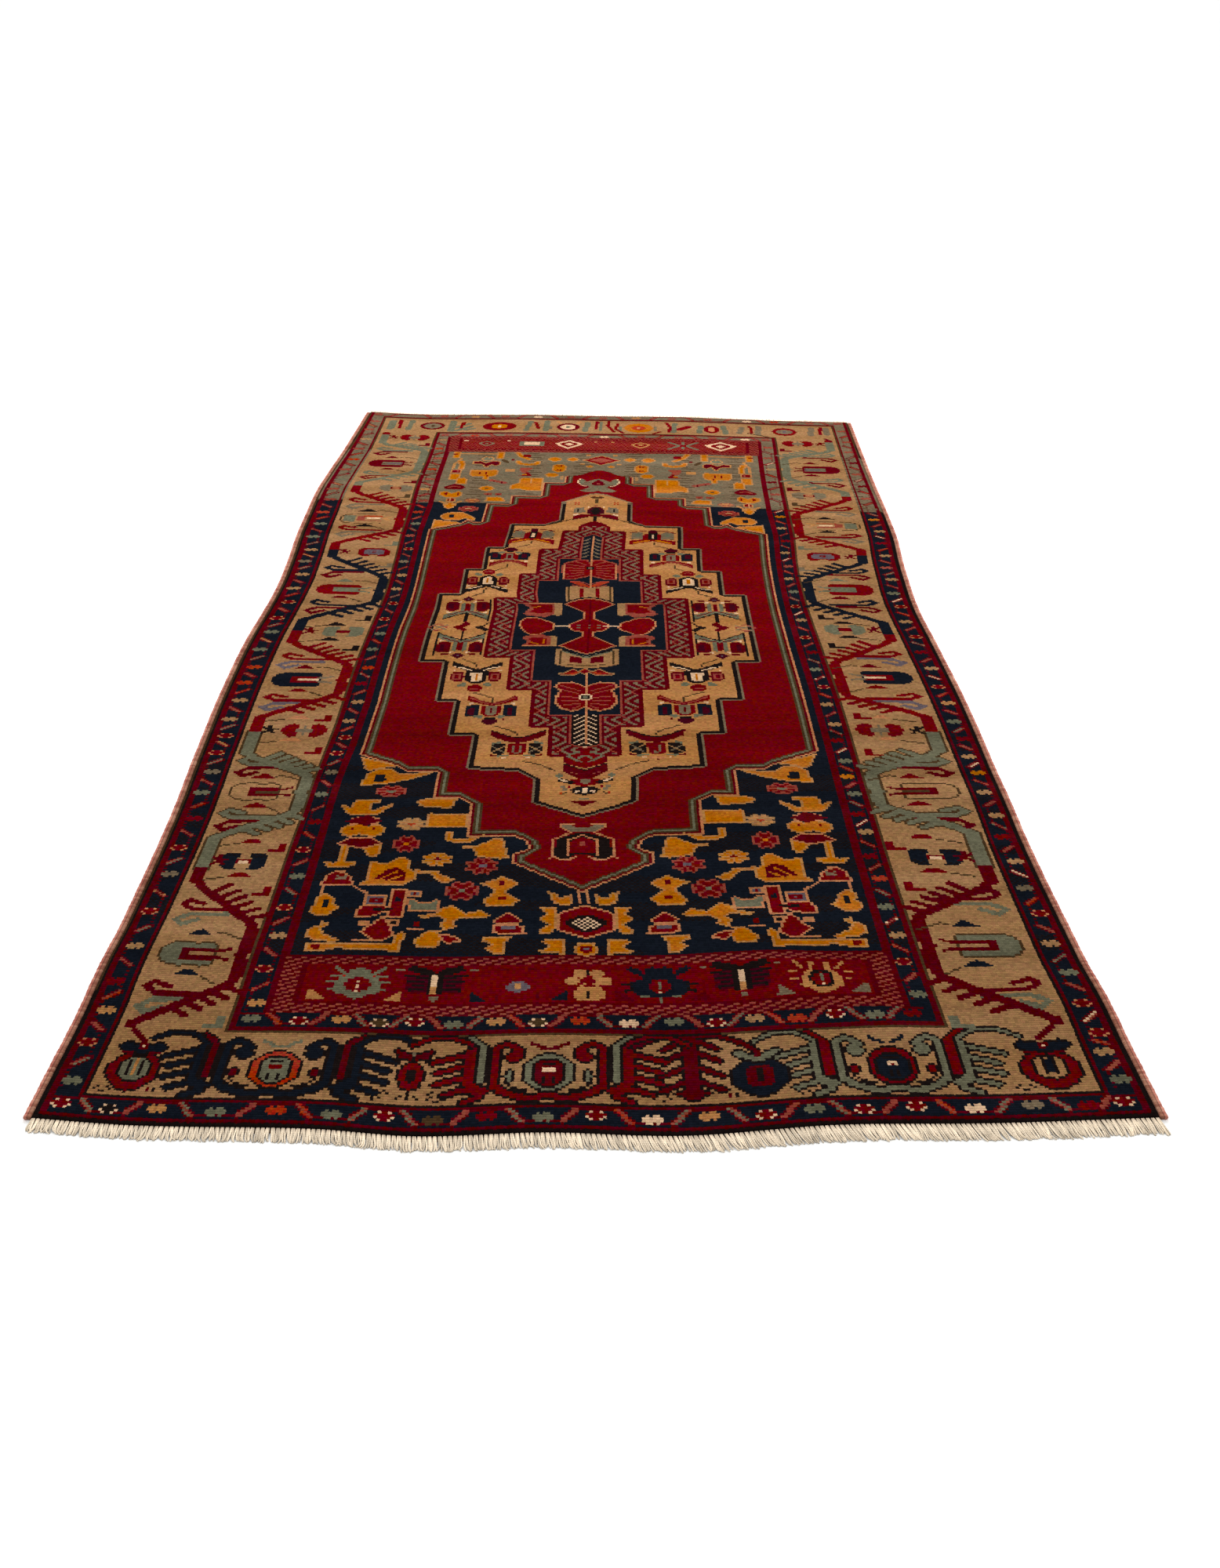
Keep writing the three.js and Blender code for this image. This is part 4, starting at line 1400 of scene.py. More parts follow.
# %% How the real rug wanders, in millimetres
HALF_WIDTH = 650
HALF_LENGTH = 1300
THICKNESS = 9
CENTRE = (15, -7)
LEFT_SIDE = [
    (-1300, -6), (-1050, -1), (-700, -4), (-500, -14), (-280, -23), (-60, -24),
    (110, -14), (300, -20), (480, -30), (770, -31), (1000, -18), (1300, -5),
]
RIGHT_SIDE = [
    (-1300, 2), (-1140, -5), (-1000, -13), (-700, -22), (-300, -23), (-60, -31),
    (117, -38), (300, -33), (500, -19), (900, -16), (1300, -10),
]
FRONT_END = [
    (-650, -2), (-520, -14), (-320, -18), (-200, -29), (-60, -22), (100, -26),
    (270, -8), (450, -4), (650, 7),
]
FAR_END = [
    (-650, 11), (-520, -3), (-400, -1), (-200, 12), (0, 13), (200, 19),
    (320, 12), (460, 4), (650, 3),
]
RIDGES = [
    (284, -1060, -30, 270, 85, 6), (-590, -1030, 12, 190, 100, 5), (600, -1090, 8, 150, 90, 4),
    (560, -640, 20, 210, 110, 4), (150, -640, -35, 260, 80, 4), (-560, 90, -12, 230, 120, 4.5),
    (555, 250, 15, 240, 130, 4), (-540, 700, 10, 260, 130, 5), (120, 620, 5, 330, 110, 3.5),
]


def curve(table, at):
    """A cubic between neighbouring places, with the slope of the chord between the two beside each."""
    keys, values = np.array(table, float).T
    before = np.maximum(np.arange(len(keys)) - 1, 0)
    after = np.minimum(np.arange(len(keys)) + 1, len(keys) - 1)
    slopes = (values[after] - values[before]) / (keys[after] - keys[before])
    at = np.clip(at, keys[0], keys[-1])
    i = np.clip(np.searchsorted(keys, at, side="right") - 1, 0, len(keys) - 2)
    span = keys[i + 1] - keys[i]
    u = (at - keys[i]) / span
    rise = u * u * (3 - 2 * u)
    bend = span * u * (1 - u) * (slopes[i] * (1 - u) - slopes[i + 1] * u)
    return values[i] * (1 - rise) + values[i + 1] * rise + bend


def place(x, y):
    """Where a point of the straight, square rug lies: each side's wander fades towards the other.

    An end's wander fades with the seventh power of the distance. The far end is turned a little.
    """
    aside = (x + HALF_WIDTH) / (2 * HALF_WIDTH)
    share = np.clip((y + HALF_LENGTH) / (2 * HALF_LENGTH), 0, 1)
    placed_x = x + curve(LEFT_SIDE, y) * (1 - aside) + curve(RIGHT_SIDE, y) * aside
    placed_y = y + curve(FRONT_END, x) * (1 - share) ** 7 + curve(FAR_END, x) * share**7
    return placed_x + CENTRE[0], placed_y - 0.057 * x * share + CENTRE[1]


def lift(x, y):
    """Height of the underside: low ridges, each the square of a product of two parabolas."""
    height = np.zeros(np.broadcast(x, y).shape)
    for middle_x, middle_y, turn, long, wide, high in RIDGES:
        c, s = np.cos(np.radians(turn)), np.sin(np.radians(turn))
        lengthwise = (x - middle_x) * c + (y - middle_y) * s
        crosswise = (y - middle_y) * c - (x - middle_x) * s
        shape = np.maximum(0, 1 - (lengthwise / long) ** 2) * np.maximum(0, 1 - (crosswise / wide) ** 2)
        height = height + high * shape**2
    return height


sample_x, sample_y = np.meshgrid(np.arange(-640, 641, 20), np.arange(-1300, 1301, 20))
print("highest ridge:", round(float(lift(sample_x, sample_y).max()), 2), "mm")

# %% [markdown]
# A weaver's columns of knots never run dead straight: the border lines swing by a few knots on their
# way up the loom. Guide columns measured at a few rows carry that swing, and every knot between two
# guides shares it. The rows tilt a little in the same way.

# %% Guides that carry the pattern's own unevenness
COLUMN_GUIDES = [
    (0, [(0, 0)]),
    (13, [(100, 13), (150, 14), (200, 14.5), (250, 15), (340, 15.5), (440, 16), (620, 16),
          (680, 14), (704, 13)]),
    (49, [(90, 46), (150, 47), (200, 49), (250, 52), (300, 53), (340, 54), (480, 54.5), (520, 54.5),
          (600, 53), (640, 51.5), (680, 51)]),
    (61, [(81, 58), (180, 58.5), (200, 59.4), (230, 62), (270, 64), (340, 64.5), (480, 65), (520, 66.5),
          (560, 66), (620, 64), (650, 62)]),
    (128, [(81, 125), (180, 125.2), (200, 125.4), (230, 126.3), (270, 127.1), (340, 128), (372, 127.8),
           (392, 125.5), (450, 126), (480, 128.4), (520, 129.3), (560, 129.6), (620, 129), (650, 128.4)]),
    (160, [(105, 157), (121, 155.6), (172, 155.6), (195, 157), (240, 157), (300, 157.5),
           (350, 158.5), (400, 158), (450, 158), (500, 159), (545, 160)]),
    (259, [(480, 256.5), (520, 255.5), (620, 257), (650, 258)]),
    (271, [(200, 268), (330, 267.5), (420, 266.5), (520, 267.5), (600, 269), (650, 270)]),
    (307, [(0, 306), (200, 307), (400, 305.5), (560, 307), (700, 308)]),
    (320, [(0, 320)]),
]
ROW_TILT = [
    (0, 0), (81, 2), (133, 3), (223, 4), (272, 4), (311, 3), (350, 3.2), (391, 3), (424, 2),
    (456, 2.5), (482, 0.8), (518, -1), (623, 1.5), (704, 0),
]
PILE_WIDTH = 1280
KNOT_ACROSS = PILE_WIDTH / COLUMNS
KNOT_ALONG = 2 * HALF_LENGTH / ROWS


def from_chart(column, row):
    """A chart place in millimetres of the straight rug: columns follow the guides, rows their tilt."""
    homes = [home for home, _ in COLUMN_GUIDES]
    swung = np.stack([np.interp(row, *np.array(guide, float).T) for _, guide in COLUMN_GUIDES])
    i = np.clip(np.searchsorted(homes, column, side="right") - 1, 0, len(homes) - 2)
    homes = np.array(homes, float)
    share = (column - homes[i]) / (homes[i + 1] - homes[i])
    lower = np.take_along_axis(swung, i[None], axis=0)[0]
    upper = np.take_along_axis(swung, i[None] + 1, axis=0)[0]
    swung_column = lower * (1 - share) + upper * share
    tilt = np.interp(row, *np.array(ROW_TILT, float).T)
    swung_row = row + tilt * np.clip((column - MIDDLE) / 98, -1, 1)
    return swung_column * KNOT_ACROSS - PILE_WIDTH / 2, swung_row * KNOT_ALONG - HALF_LENGTH


print("a knot is", KNOT_ACROSS, "by", round(KNOT_ALONG, 2), "mm")


# %% [markdown]
# The knotted cloth is one closed shell: a top sheet of pile, a bottom sheet of bare knots and a wall
# round the rim. One quad holds four knots across and two rows. Modelling single knots would need
# half a million tufts, so the mesh carries the cloth's form and the material draws the knots.

# %% A grid of quads made into a mesh
def stations(knots, step):
    """Places along one side, in knots: every few knots, and closer where the rim rounds over."""
    rim = np.array([0.4, 1, 2])
    return np.unique(np.concatenate([np.arange(0, knots + 1, step), rim, knots - rim]))


def grid_faces(rows, columns, closed=False):
    """Quads between neighbours on a grid of points that is numbered row by row."""
    j, i = np.meshgrid(np.arange(rows - 1), np.arange(columns - (0 if closed else 1)), indexing="ij")
    right = (i + 1) % columns
    quads = [j * columns + i, j * columns + right, (j + 1) * columns + right, (j + 1) * columns + i]
    return np.stack(quads, axis=-1).reshape(-1, 4)


def make_piece(name, points, faces, materials):
    """A mesh object from arrays, in metres, with smooth faces and its place in its mesh."""
    mesh = bpy.data.meshes.new(name)
    mesh.from_pydata(points.tolist(), [], [list(face) for face in faces])
    mesh.validate()
    mesh.polygons.foreach_set("use_smooth", np.ones(len(mesh.polygons), bool))
    for material in materials:
        mesh.materials.append(material)
    piece = bpy.data.objects.new(name, mesh)
    bpy.context.scene.collection.objects.link(piece)
    print(name, len(points), "points,", len(faces), "faces")
    return piece


def face_numbers(piece, name, values):
    """Stores one number a face."""
    layer = piece.data.attributes.new(name, "FLOAT", "FACE")
    layer.data.foreach_set("value", np.asarray(values, np.float32))


def corner_map(piece, name, pairs):
    """Stores a flat place for every point of every face."""
    layer = piece.data.uv_layers.new(name=name)
    layer.data.foreach_set("uv", np.asarray(pairs, np.float32).ravel())


# %% [markdown]
# The pile stands 9 mm over the floor and rounds over at the rim, where the tufts have room to lean
# out. A bevel could round it, but the drop can be worked out: it is a power of the distance from
# the rim. Slow shallow waves keep the clipped surface from looking like a board.

# %% The shell of pile and foundation
CELL_ACROSS, CELL_ALONG = 4, 2
SHOULDER_DROP, SHOULDER_WIDTH = 4.4, 9
columns_at = stations(COLUMNS, CELL_ACROSS)
rows_at = stations(ROWS, CELL_ALONG)
wide, long = len(columns_at), len(rows_at)
chart_x, chart_y = np.meshgrid(columns_at, rows_at)
flat_x, flat_y = from_chart(chart_x, chart_y)
rug_x, rug_y = place(flat_x, flat_y)
inset = np.minimum.reduce([
    chart_x * KNOT_ACROSS, (COLUMNS - chart_x) * KNOT_ACROSS, chart_y * KNOT_ALONG,
    (ROWS - chart_y) * KNOT_ALONG,
])
shoulder = SHOULDER_DROP * np.clip(1 - inset / SHOULDER_WIDTH, 0, 1) ** 1.8
waves = 0.22 * np.sin(flat_x / 23 + 1.3 * np.sin(flat_y / 41)) * np.sin(flat_y / 31 + np.sin(flat_x / 57))
under = lift(flat_x, flat_y)
top_points = np.stack([rug_x, rug_y, under + THICKNESS - shoulder + waves], axis=-1).reshape(-1, 3)
bottom_points = np.stack([rug_x, rug_y, under], axis=-1).reshape(-1, 3)
shell_points = np.vstack([bottom_points, top_points]) / 1000
print("pile:", wide, "by", long, "points")

# %% Faces of the shell
top_quads = grid_faces(long, wide) + wide * long
bottom_quads = grid_faces(long, wide)[:, ::-1]
rim = np.concatenate([
    np.arange(wide - 1), np.arange(long - 1) * wide + wide - 1,
    wide * long - 1 - np.arange(wide - 1), (long - 1 - np.arange(long - 1)) * wide,
])
after = np.roll(rim, -1)
wall_quads = np.stack([rim, after, after + wide * long, rim + wide * long], axis=-1)
shell_faces = np.vstack([top_quads, bottom_quads, wall_quads])
print("shell:", len(shell_faces), "faces")

# %% [markdown]
# Each face carries the wools of its eight knots and of the ring of knots round them, so that the
# material may blur a boundary by a fraction of a knot. Four rows of six knots are four numbers: six
# digits of base 16 fit exactly in one float. The face's own place in the chart says which digit a
# point needs.

# %% Give the faces their knots
def packed_rows(chart, first_column, first_row, offset):
    """Six knots of one row as digits of base 16. Knots beyond the rug repeat the last one inside."""
    row = np.clip(first_row + offset, 0, ROWS - 1)
    total = np.zeros(len(first_row))
    for k in range(6):
        column = np.clip(first_column + k - 1, 0, COLUMNS - 1)
        total += chart[row, column] * 16.0**k
    return total


shell_place = np.stack([chart_x, chart_y], axis=-1).reshape(-1, 2)
shell_place = np.vstack([shell_place, shell_place])
corners = shell_place[shell_faces]
middles = corners.mean(axis=1)
inside = np.clip(middles, 0.05, [COLUMNS - 0.05, ROWS - 0.05])
first_column = (inside[:, 0] // CELL_ACROSS).astype(int) * CELL_ACROSS
first_row = (inside[:, 1] // CELL_ALONG).astype(int) * CELL_ALONG
print("knots packed for", len(first_row), "faces")

# %% [markdown]
# Every wool gets its colour from one ramp with hard steps. A small set of helpers keeps the node
# trees readable: one adds a node and joins its inputs in order, and one is short for sums.

# %% Helpers for node trees
def new_finish(name):
    """A material with its tree and its main shader."""
    finish = bpy.data.materials.new(name)
    finish.use_nodes = True
    return finish, finish.node_tree, finish.node_tree.nodes["Principled BSDF"]


def node(tree, kind, inputs=(), out=0, **choices):
    """Adds a node. Its inputs are numbers, or outputs of other nodes, which get linked."""
    made = tree.nodes.new("ShaderNode" + kind)
    for key, value in choices.items():
        setattr(made, key, value)
    for socket, value in dict(inputs).items() if isinstance(inputs, dict) else enumerate(inputs):
        if isinstance(value, bpy.types.NodeSocket):
            tree.links.new(value, made.inputs[socket])
        elif value is not None:
            made.inputs[socket].default_value = value
    return made.outputs[out]


def sums(tree, operation, *inputs):
    """One step of arithmetic on numbers or outputs."""
    return node(tree, "Math", inputs, operation=operation)


def spread(tree, value, low, high, to_low, to_high):
    """Moves a value from one range to another, held at both ends."""
    return node(tree, "MapRange", (value, low, high, to_low, to_high))


def shade(tree, colour, value, hue=0.5, saturation=1.0):
    """Multiplies a colour's lightness and strength. A hue of 0.5 leaves the hue as it is."""
    return node(tree, "HueSaturation", (hue, saturation, value, 1.0, colour))


def colour_ramp(tree, value, table):
    """A ramp through a table of places and colours. The two stops it comes with are used first."""
    ramp = tree.nodes.new("ShaderNodeValToRGB")
    stops = ramp.color_ramp.elements
    for k, (position, colour) in enumerate(sorted(table, key=lambda entry: entry[0] not in (0.0, 1.0))):
        stop = stops[k] if k < 2 else stops.new(position)
        stop.position = position
        stop.color = linear(colour)
    tree.links.new(value, ramp.inputs[0])
    return ramp.outputs[0]


# %% [markdown]
# The wools are madder reds, indigo, undyed browns and creams, all softened by age. Their colours are
# display numbers up to 255, and the shader needs them as amounts of light.

# %% Wool colours
WOOL_COLOURS = {
    "black": (20, 14, 13), "navy": (14, 18, 25), "red": (91, 0, 5), "wine": (75, 4, 12),
    "beige": (131, 97, 65), "tan": (146, 101, 61), "orange": (150, 86, 26), "sage": (86, 84, 66),
    "grey": (95, 81, 63), "cream": (180, 148, 118), "rose": (118, 56, 45), "coral": (134, 44, 27),
    "olive": (58, 42, 25), "lilac": (80, 70, 74), "plum": (54, 7, 18), "peach": (152, 100, 68),
}


def linear(colour):
    """Display numbers up to 255 turned into amounts of light, by the usual two-part curve."""
    c = np.array(colour) / 255
    return tuple(np.where(c <= 0.04045, c / 12.92, ((c + 0.055) / 1.055) ** 2.4)) + (1.0,)


def wool_ramp(tree, number):
    """A ramp with one hard step for every wool."""
    share = sums(tree, "DIVIDE", sums(tree, "ADD", number, 0.5), len(WOOLS))
    ramp = tree.nodes.new("ShaderNodeValToRGB")
    ramp.color_ramp.interpolation = "CONSTANT"
    stops = ramp.color_ramp.elements
    while len(stops) < len(WOOLS):
        stops.new(1)
    for i, name in enumerate(WOOLS):
        stops[i].position = i / len(WOOLS)
        stops[i].color = linear(WOOL_COLOURS[name])
    tree.links.new(share, ramp.inputs[0])
    return ramp.outputs[0]


print("colours for", len(WOOL_COLOURS), "wools")

# %% [markdown]
# Pile yarn springs sideways, so the edge between two wools is never a clean step. Two soft noises
# push the place that is looked up by part of a knot. The number of that knot's wool is then one
# digit of one of the face's four packed rows: the row is picked by comparing, and the digit by
# dividing by the right power of 16 and keeping the remainder.

# %% Which wool a point of the cloth shows
def knot_wool(tree, blur):
    """The place in knots, its parts, and the number of the wool there.

    The column and the row in the face are the place less the face's first knot, plus a push of up to
    half the blur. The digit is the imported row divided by 16 to the power of the column, less all
    whole sixteens.
    """
    place_uv = node(tree, "UVMap", uv_map="knots")
    u, v = [node(tree, "SeparateXYZ", (place_uv,), out=k) for k in (0, 1)]
    coarse = node(tree, "TexNoise", {"Vector": place_uv, "Scale": 1.1, "Detail": 3.0}, out=1,
                  noise_dimensions="2D")
    push_u, push_v = [
        sums(tree, "MULTIPLY", sums(tree, "SUBTRACT", node(tree, "SeparateXYZ", (coarse,), out=k), 0.5), b)
        for k, b in enumerate(blur)
    ]
    first_u = node(tree, "Attribute", out=2, attribute_name="first_column")
    first_v = node(tree, "Attribute", out=2, attribute_name="first_row")
    column = sums(tree, "FLOOR", sums(tree, "ADD", sums(tree, "SUBTRACT", u, first_u), push_u))
    row = sums(tree, "FLOOR", sums(tree, "ADD", sums(tree, "SUBTRACT", v, first_v), push_v))
    column = sums(tree, "MINIMUM", sums(tree, "MAXIMUM", column, -1.0), 4.0)
    row = sums(tree, "MINIMUM", sums(tree, "MAXIMUM", row, -1.0), 2.0)
    packed = power = 0.0
    for k in range(4):
        is_row = sums(tree, "COMPARE", row, k - 1.0, 0.1)
        packed = sums(tree, "MULTIPLY_ADD", node(tree, "Attribute", out=2, attribute_name=f"row_{k}"),
                      is_row, packed)
    for k in range(6):
        power = sums(tree, "MULTIPLY_ADD", sums(tree, "COMPARE", column, k - 1.0, 0.1), 16.0**k, power)
    digit = sums(tree, "MODULO", sums(tree, "FLOOR", sums(tree, "DIVIDE", packed, power)), 16.0)
    return place_uv, u, v, digit


# %% [markdown]
# Old village wool is never one colour. Each knot differs a little, dye lots change in bands from row
# to row, and feet and light fade broad patches. The clipped pile shows as short ribs across the
# rug, with two tufts to a knot, and painted shade darkens the colour between the rows. Red and wine
# are painted lighter towards the far end as a painted sheen, and the shader adds the soft sheen of
# wool at a low angle.

# %% Pile finish
pile, tree, surface = new_finish("clipped wool pile")
place_uv, u, v, digit = knot_wool(tree, (0.9, 1.0))
colour = wool_ramp(tree, digit)
knot = node(tree, "CombineXYZ", (sums(tree, "FLOOR", u), sums(tree, "FLOOR", v), 0.0))
each_knot = node(tree, "TexWhiteNoise", (knot,), noise_dimensions="2D")
each_hue = node(tree, "TexWhiteNoise", {"Vector": node(tree, "VectorMath", (knot, (7.3, 3.1, 0)))},
                noise_dimensions="2D")
dye_lot = node(tree, "TexNoise", {"W": sums(tree, "MULTIPLY", v, 0.07), "Scale": 1.0, "Detail": 4.0},
               noise_dimensions="1D")
streaks = node(tree, "VectorMath", (place_uv, (0.3, 1.0, 1.0)), operation="MULTIPLY")
patch = node(tree, "TexNoise", {"Vector": streaks, "Scale": 0.06, "Detail": 5.0}, noise_dimensions="2D")
strands = node(tree, "VectorMath", (place_uv, (3.0, 1.2, 1)), operation="MULTIPLY")
fibre = node(tree, "TexNoise", {"Vector": strands, "Scale": 1.6, "Detail": 4.0, "Roughness": 0.7},
             noise_dimensions="2D")
rib = sums(tree, "ABSOLUTE", sums(tree, "SINE", sums(tree, "MULTIPLY", v, np.pi)))
tuft = sums(tree, "ABSOLUTE", sums(tree, "SINE", sums(tree, "MULTIPLY", u, 2 * np.pi)))

# %% Light and bump of the pile
light = spread(tree, each_knot, 0, 1, 0.8, 1.2)
# Red and wine are painted lighter towards the far end: a painted sheen.
is_red = sums(tree, "COMPARE", digit, (wool("red") + wool("wine")) / 2, 0.6)
far_sheen_on_red = sums(tree, "MULTIPLY_ADD", is_red, spread(tree, v, 60.0, 640.0, -0.1, 0.14), 1.0)
# The rib term darkens the troughs between the rows: painted shade.
for part in (spread(tree, dye_lot, 0.3, 0.7, 0.88, 1.12), spread(tree, patch, 0.3, 0.7, 0.9, 1.1),
             spread(tree, fibre, 0.3, 0.7, 0.72, 1.24), spread(tree, rib, 0.0, 0.7, 0.72, 1.04),
             far_sheen_on_red):
    light = sums(tree, "MULTIPLY", light, part)
colour = shade(tree, colour, light, spread(tree, each_hue, 0, 1, 0.492, 0.508),
               spread(tree, patch, 0.3, 0.7, 1.06, 1.0))
height = sums(tree, "MULTIPLY_ADD", fibre, 1.1, sums(tree, "MULTIPLY_ADD", tuft, 0.25, rib))
bump = node(tree, "Bump", {"Strength": 0.55, "Distance": 0.0013, "Height": height})
tree.links.new(colour, surface.inputs["Base Color"])
tree.links.new(bump, surface.inputs["Normal"])
tree.links.new(spread(tree, fibre, 0.3, 0.7, 0.78, 0.95), surface.inputs["Roughness"])
surface.inputs["Specular IOR Level"].default_value = 0.0
surface.inputs["Sheen Weight"].default_value = 0.004
surface.inputs["Sheen Roughness"].default_value = 0.4
surface.inputs["Sheen Tint"].default_value = (1.0, 0.62, 0.5, 1.0)
print(pile.name, "has", len(tree.nodes), "nodes")

# %% [markdown]
# The back of a knotted rug has no pile. Every knot shows as two small nodes side by side, with the
# weft between the rows, and the pattern is crisp. It uses the same digits with no blur.

# %% Back finish
back, tree, surface = new_finish("bare knots of the back")
place_uv, u, v, digit = knot_wool(tree, (0.12, 0.12))
node_across = sums(tree, "ABSOLUTE", sums(tree, "SINE", sums(tree, "MULTIPLY", u, 2 * np.pi)))
node_along = sums(tree, "ABSOLUTE", sums(tree, "SINE", sums(tree, "MULTIPLY", v, np.pi)))
bead = sums(tree, "MULTIPLY", sums(tree, "POWER", node_across, 0.5), sums(tree, "POWER", node_along, 0.5))
grain = node(tree, "TexNoise", {"Vector": place_uv, "Scale": 4.0, "Detail": 3.0}, noise_dimensions="2D")
worn = shade(tree, wool_ramp(tree, digit), spread(tree, grain, 0.3, 0.7, 0.8, 1.3), 0.5, 0.82)
between = spread(tree, bead, 0.15, 0.5, 0.75, 0.0)
weft = node(tree, "Mix", {0: between, 6: worn, 7: linear((150, 120, 96))}, out=2, data_type="RGBA")
tree.links.new(weft, surface.inputs["Base Color"])
tree.links.new(node(tree, "Bump", {"Strength": 0.8, "Distance": 0.0012, "Height": bead}),
               surface.inputs["Normal"])
tree.links.new(spread(tree, grain, 0.3, 0.7, 0.82, 0.96), surface.inputs["Roughness"])
surface.inputs["Specular IOR Level"].default_value = 0.2
print(back.name, "has", len(tree.nodes), "nodes")

# %% [markdown]
# The cloth gets both finishes: the pile on its top and rim, the bare knots underneath. The chart
# goes with it as numbers on its faces, so the material needs no picture. It takes the place of the
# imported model's cloth.

# %% The knotted cloth
cloth = make_piece("knotted_cloth", shell_points, shell_faces, [pile, back])
is_back = np.zeros(len(shell_faces), np.int32)
is_back[len(top_quads):len(top_quads) + len(bottom_quads)] = 1
cloth.data.polygons.foreach_set("material_index", is_back)
corner_map(cloth, "knots", corners)
face_numbers(cloth, "first_column", first_column)
face_numbers(cloth, "first_row", first_row)
for k in range(4):
    face_numbers(cloth, f"row_{k}", packed_rows(chart, first_column, first_row, k - 1))
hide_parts("rug_pile")
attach(cloth, "root")

# %% [markdown]
# Each side of the rug is finished with a selvedge: two warp cords wrapped side by side with wool, a
# turn for about every row. The form is a section carried along the side. From the middle of the
# pair, the section reaches as far as the farther of two circles, and it swells and sinks once a turn.

# %% Selvedge form
TURNS = 640
RINGS_A_TURN = 3
AROUND = 12
CORDS_APART, CORD_RADIUS = 1.9, 2.75


def two_cord_reach(angle, apart, radius):
    """Distance from the middle to the outline of two overlapping circles set apart sideways."""
    c, s = np.abs(np.cos(angle)), np.sin(angle)
    return apart * c + np.sqrt(radius**2 - (apart * s) ** 2)


def selvedge_points(side):
    """Rings along one side of the rug. Each wrapped turn is a little thicker, thinner or askew."""
    ring, angle = np.meshgrid(np.arange(TURNS * RINGS_A_TURN + 1), np.arange(AROUND) * 2 * np.pi / AROUND,
                              indexing="ij")
    share = ring / (TURNS * RINGS_A_TURN)
    drift = 0.9 * np.sin(share * 91 + side) + 0.6 * np.sin(share * 233)
    turn = ring / RINGS_A_TURN
    swell = np.abs(np.sin(np.pi * (turn + 0.12 * np.cos(angle) * side))) ** 0.7
    unevenness = 0.05 * np.sin(turn * 2.399) + 0.04 * np.sin(turn * 0.61 + side)
    reach = two_cord_reach(angle, CORDS_APART, CORD_RADIUS) * (0.94 + 0.12 * swell + unevenness)
    y = -HALF_LENGTH + 2 * HALF_LENGTH * share + 0.35 * np.sin(turn * 1.9)
    y = np.clip(y, -HALF_LENGTH, HALF_LENGTH)
    edge_x, edge_y = place(side * PILE_WIDTH / 2, y)
    x = edge_x + side * (5.3 + 0.12 * drift) + reach * np.cos(angle)
    floor_gap = 0.15
    ground = lift(np.full_like(y, side * PILE_WIDTH / 2), y)
    z = ground + np.maximum(3.1 + reach * np.sin(angle), floor_gap)
    turn_and_side = np.stack([turn, side * np.cos(angle)], axis=-1)
    return np.stack([x, edge_y, z], axis=-1), turn_and_side


def tube_faces(rings, around, outwards):
    """Quads round the rings and a flat many-sided cap at each end."""
    quads = grid_faces(rings, around, closed=True)
    first = np.arange(around)
    last = first + (rings - 1) * around
    faces = quads.tolist() + [first[::-1].tolist(), last.tolist()]
    return faces if outwards else [face[::-1] for face in faces]


print("a pair of cords is", 2 * (CORDS_APART + CORD_RADIUS), "mm wide and", 2 * CORD_RADIUS, "mm high")

# %% [markdown]
# The wrapping wool is a dusty rose that has been spliced from odd lengths of yarn, so the colour
# changes from turn to turn. The cord beside the pile is painted darker and browner as shade, and so
# is the hollow between the two, and each gap between turns is painted darker as shade too. Fine
# slanting ridges stand for the twist of the yarn.

# %% Wrapped wool finish
wrapped, tree, surface = new_finish("wrapped selvedge wool")
wrap_uv = node(tree, "UVMap", uv_map="turns")
turn, outward = [node(tree, "SeparateXYZ", (wrap_uv,), out=k) for k in (0, 1)]
each_turn = node(tree, "TexWhiteNoise", {"W": sums(tree, "FLOOR", turn)}, noise_dimensions="1D")
spliced = node(tree, "TexNoise", {"W": sums(tree, "MULTIPLY", turn, 0.05), "Detail": 4.0, "Scale": 1.0},
               noise_dimensions="1D")
tint = sums(tree, "MULTIPLY_ADD", each_turn, 0.45, sums(tree, "MULTIPLY", spliced, 0.6))
wrap_colour = colour_ramp(tree, tint, [
    (0.0, (132, 60, 52)), (0.35, (162, 92, 78)), (0.6, (188, 120, 102)), (1.0, (212, 154, 132)),
])
slant = sums(tree, "MULTIPLY", outward, 14.0)
twist = sums(tree, "SINE", sums(tree, "MULTIPLY_ADD", turn, 19.0, slant))
gap = sums(tree, "ABSOLUTE", sums(tree, "SINE", sums(tree, "MULTIPLY", turn, np.pi)))
valley_shade = spread(tree, sums(tree, "ABSOLUTE", outward), 0.0, 0.3, 0.3, 1.0)
inner_cord_shade = spread(tree, outward, -0.2, 0.1, 0.62, 1.0)
lint = node(tree, "TexNoise", {"Vector": node(tree, "TexCoord", out=3), "Scale": 900.0, "Detail": 3.0})
# Painted shade: the gaps between turns, the hollow between the cords and the cord beside the pile are
# darkened.
value = spread(tree, gap, 0.0, 0.5, 0.72, 1.0)
for part in (spread(tree, lint, 0.3, 0.7, 0.8, 1.2), valley_shade, inner_cord_shade):
    value = sums(tree, "MULTIPLY", value, part)
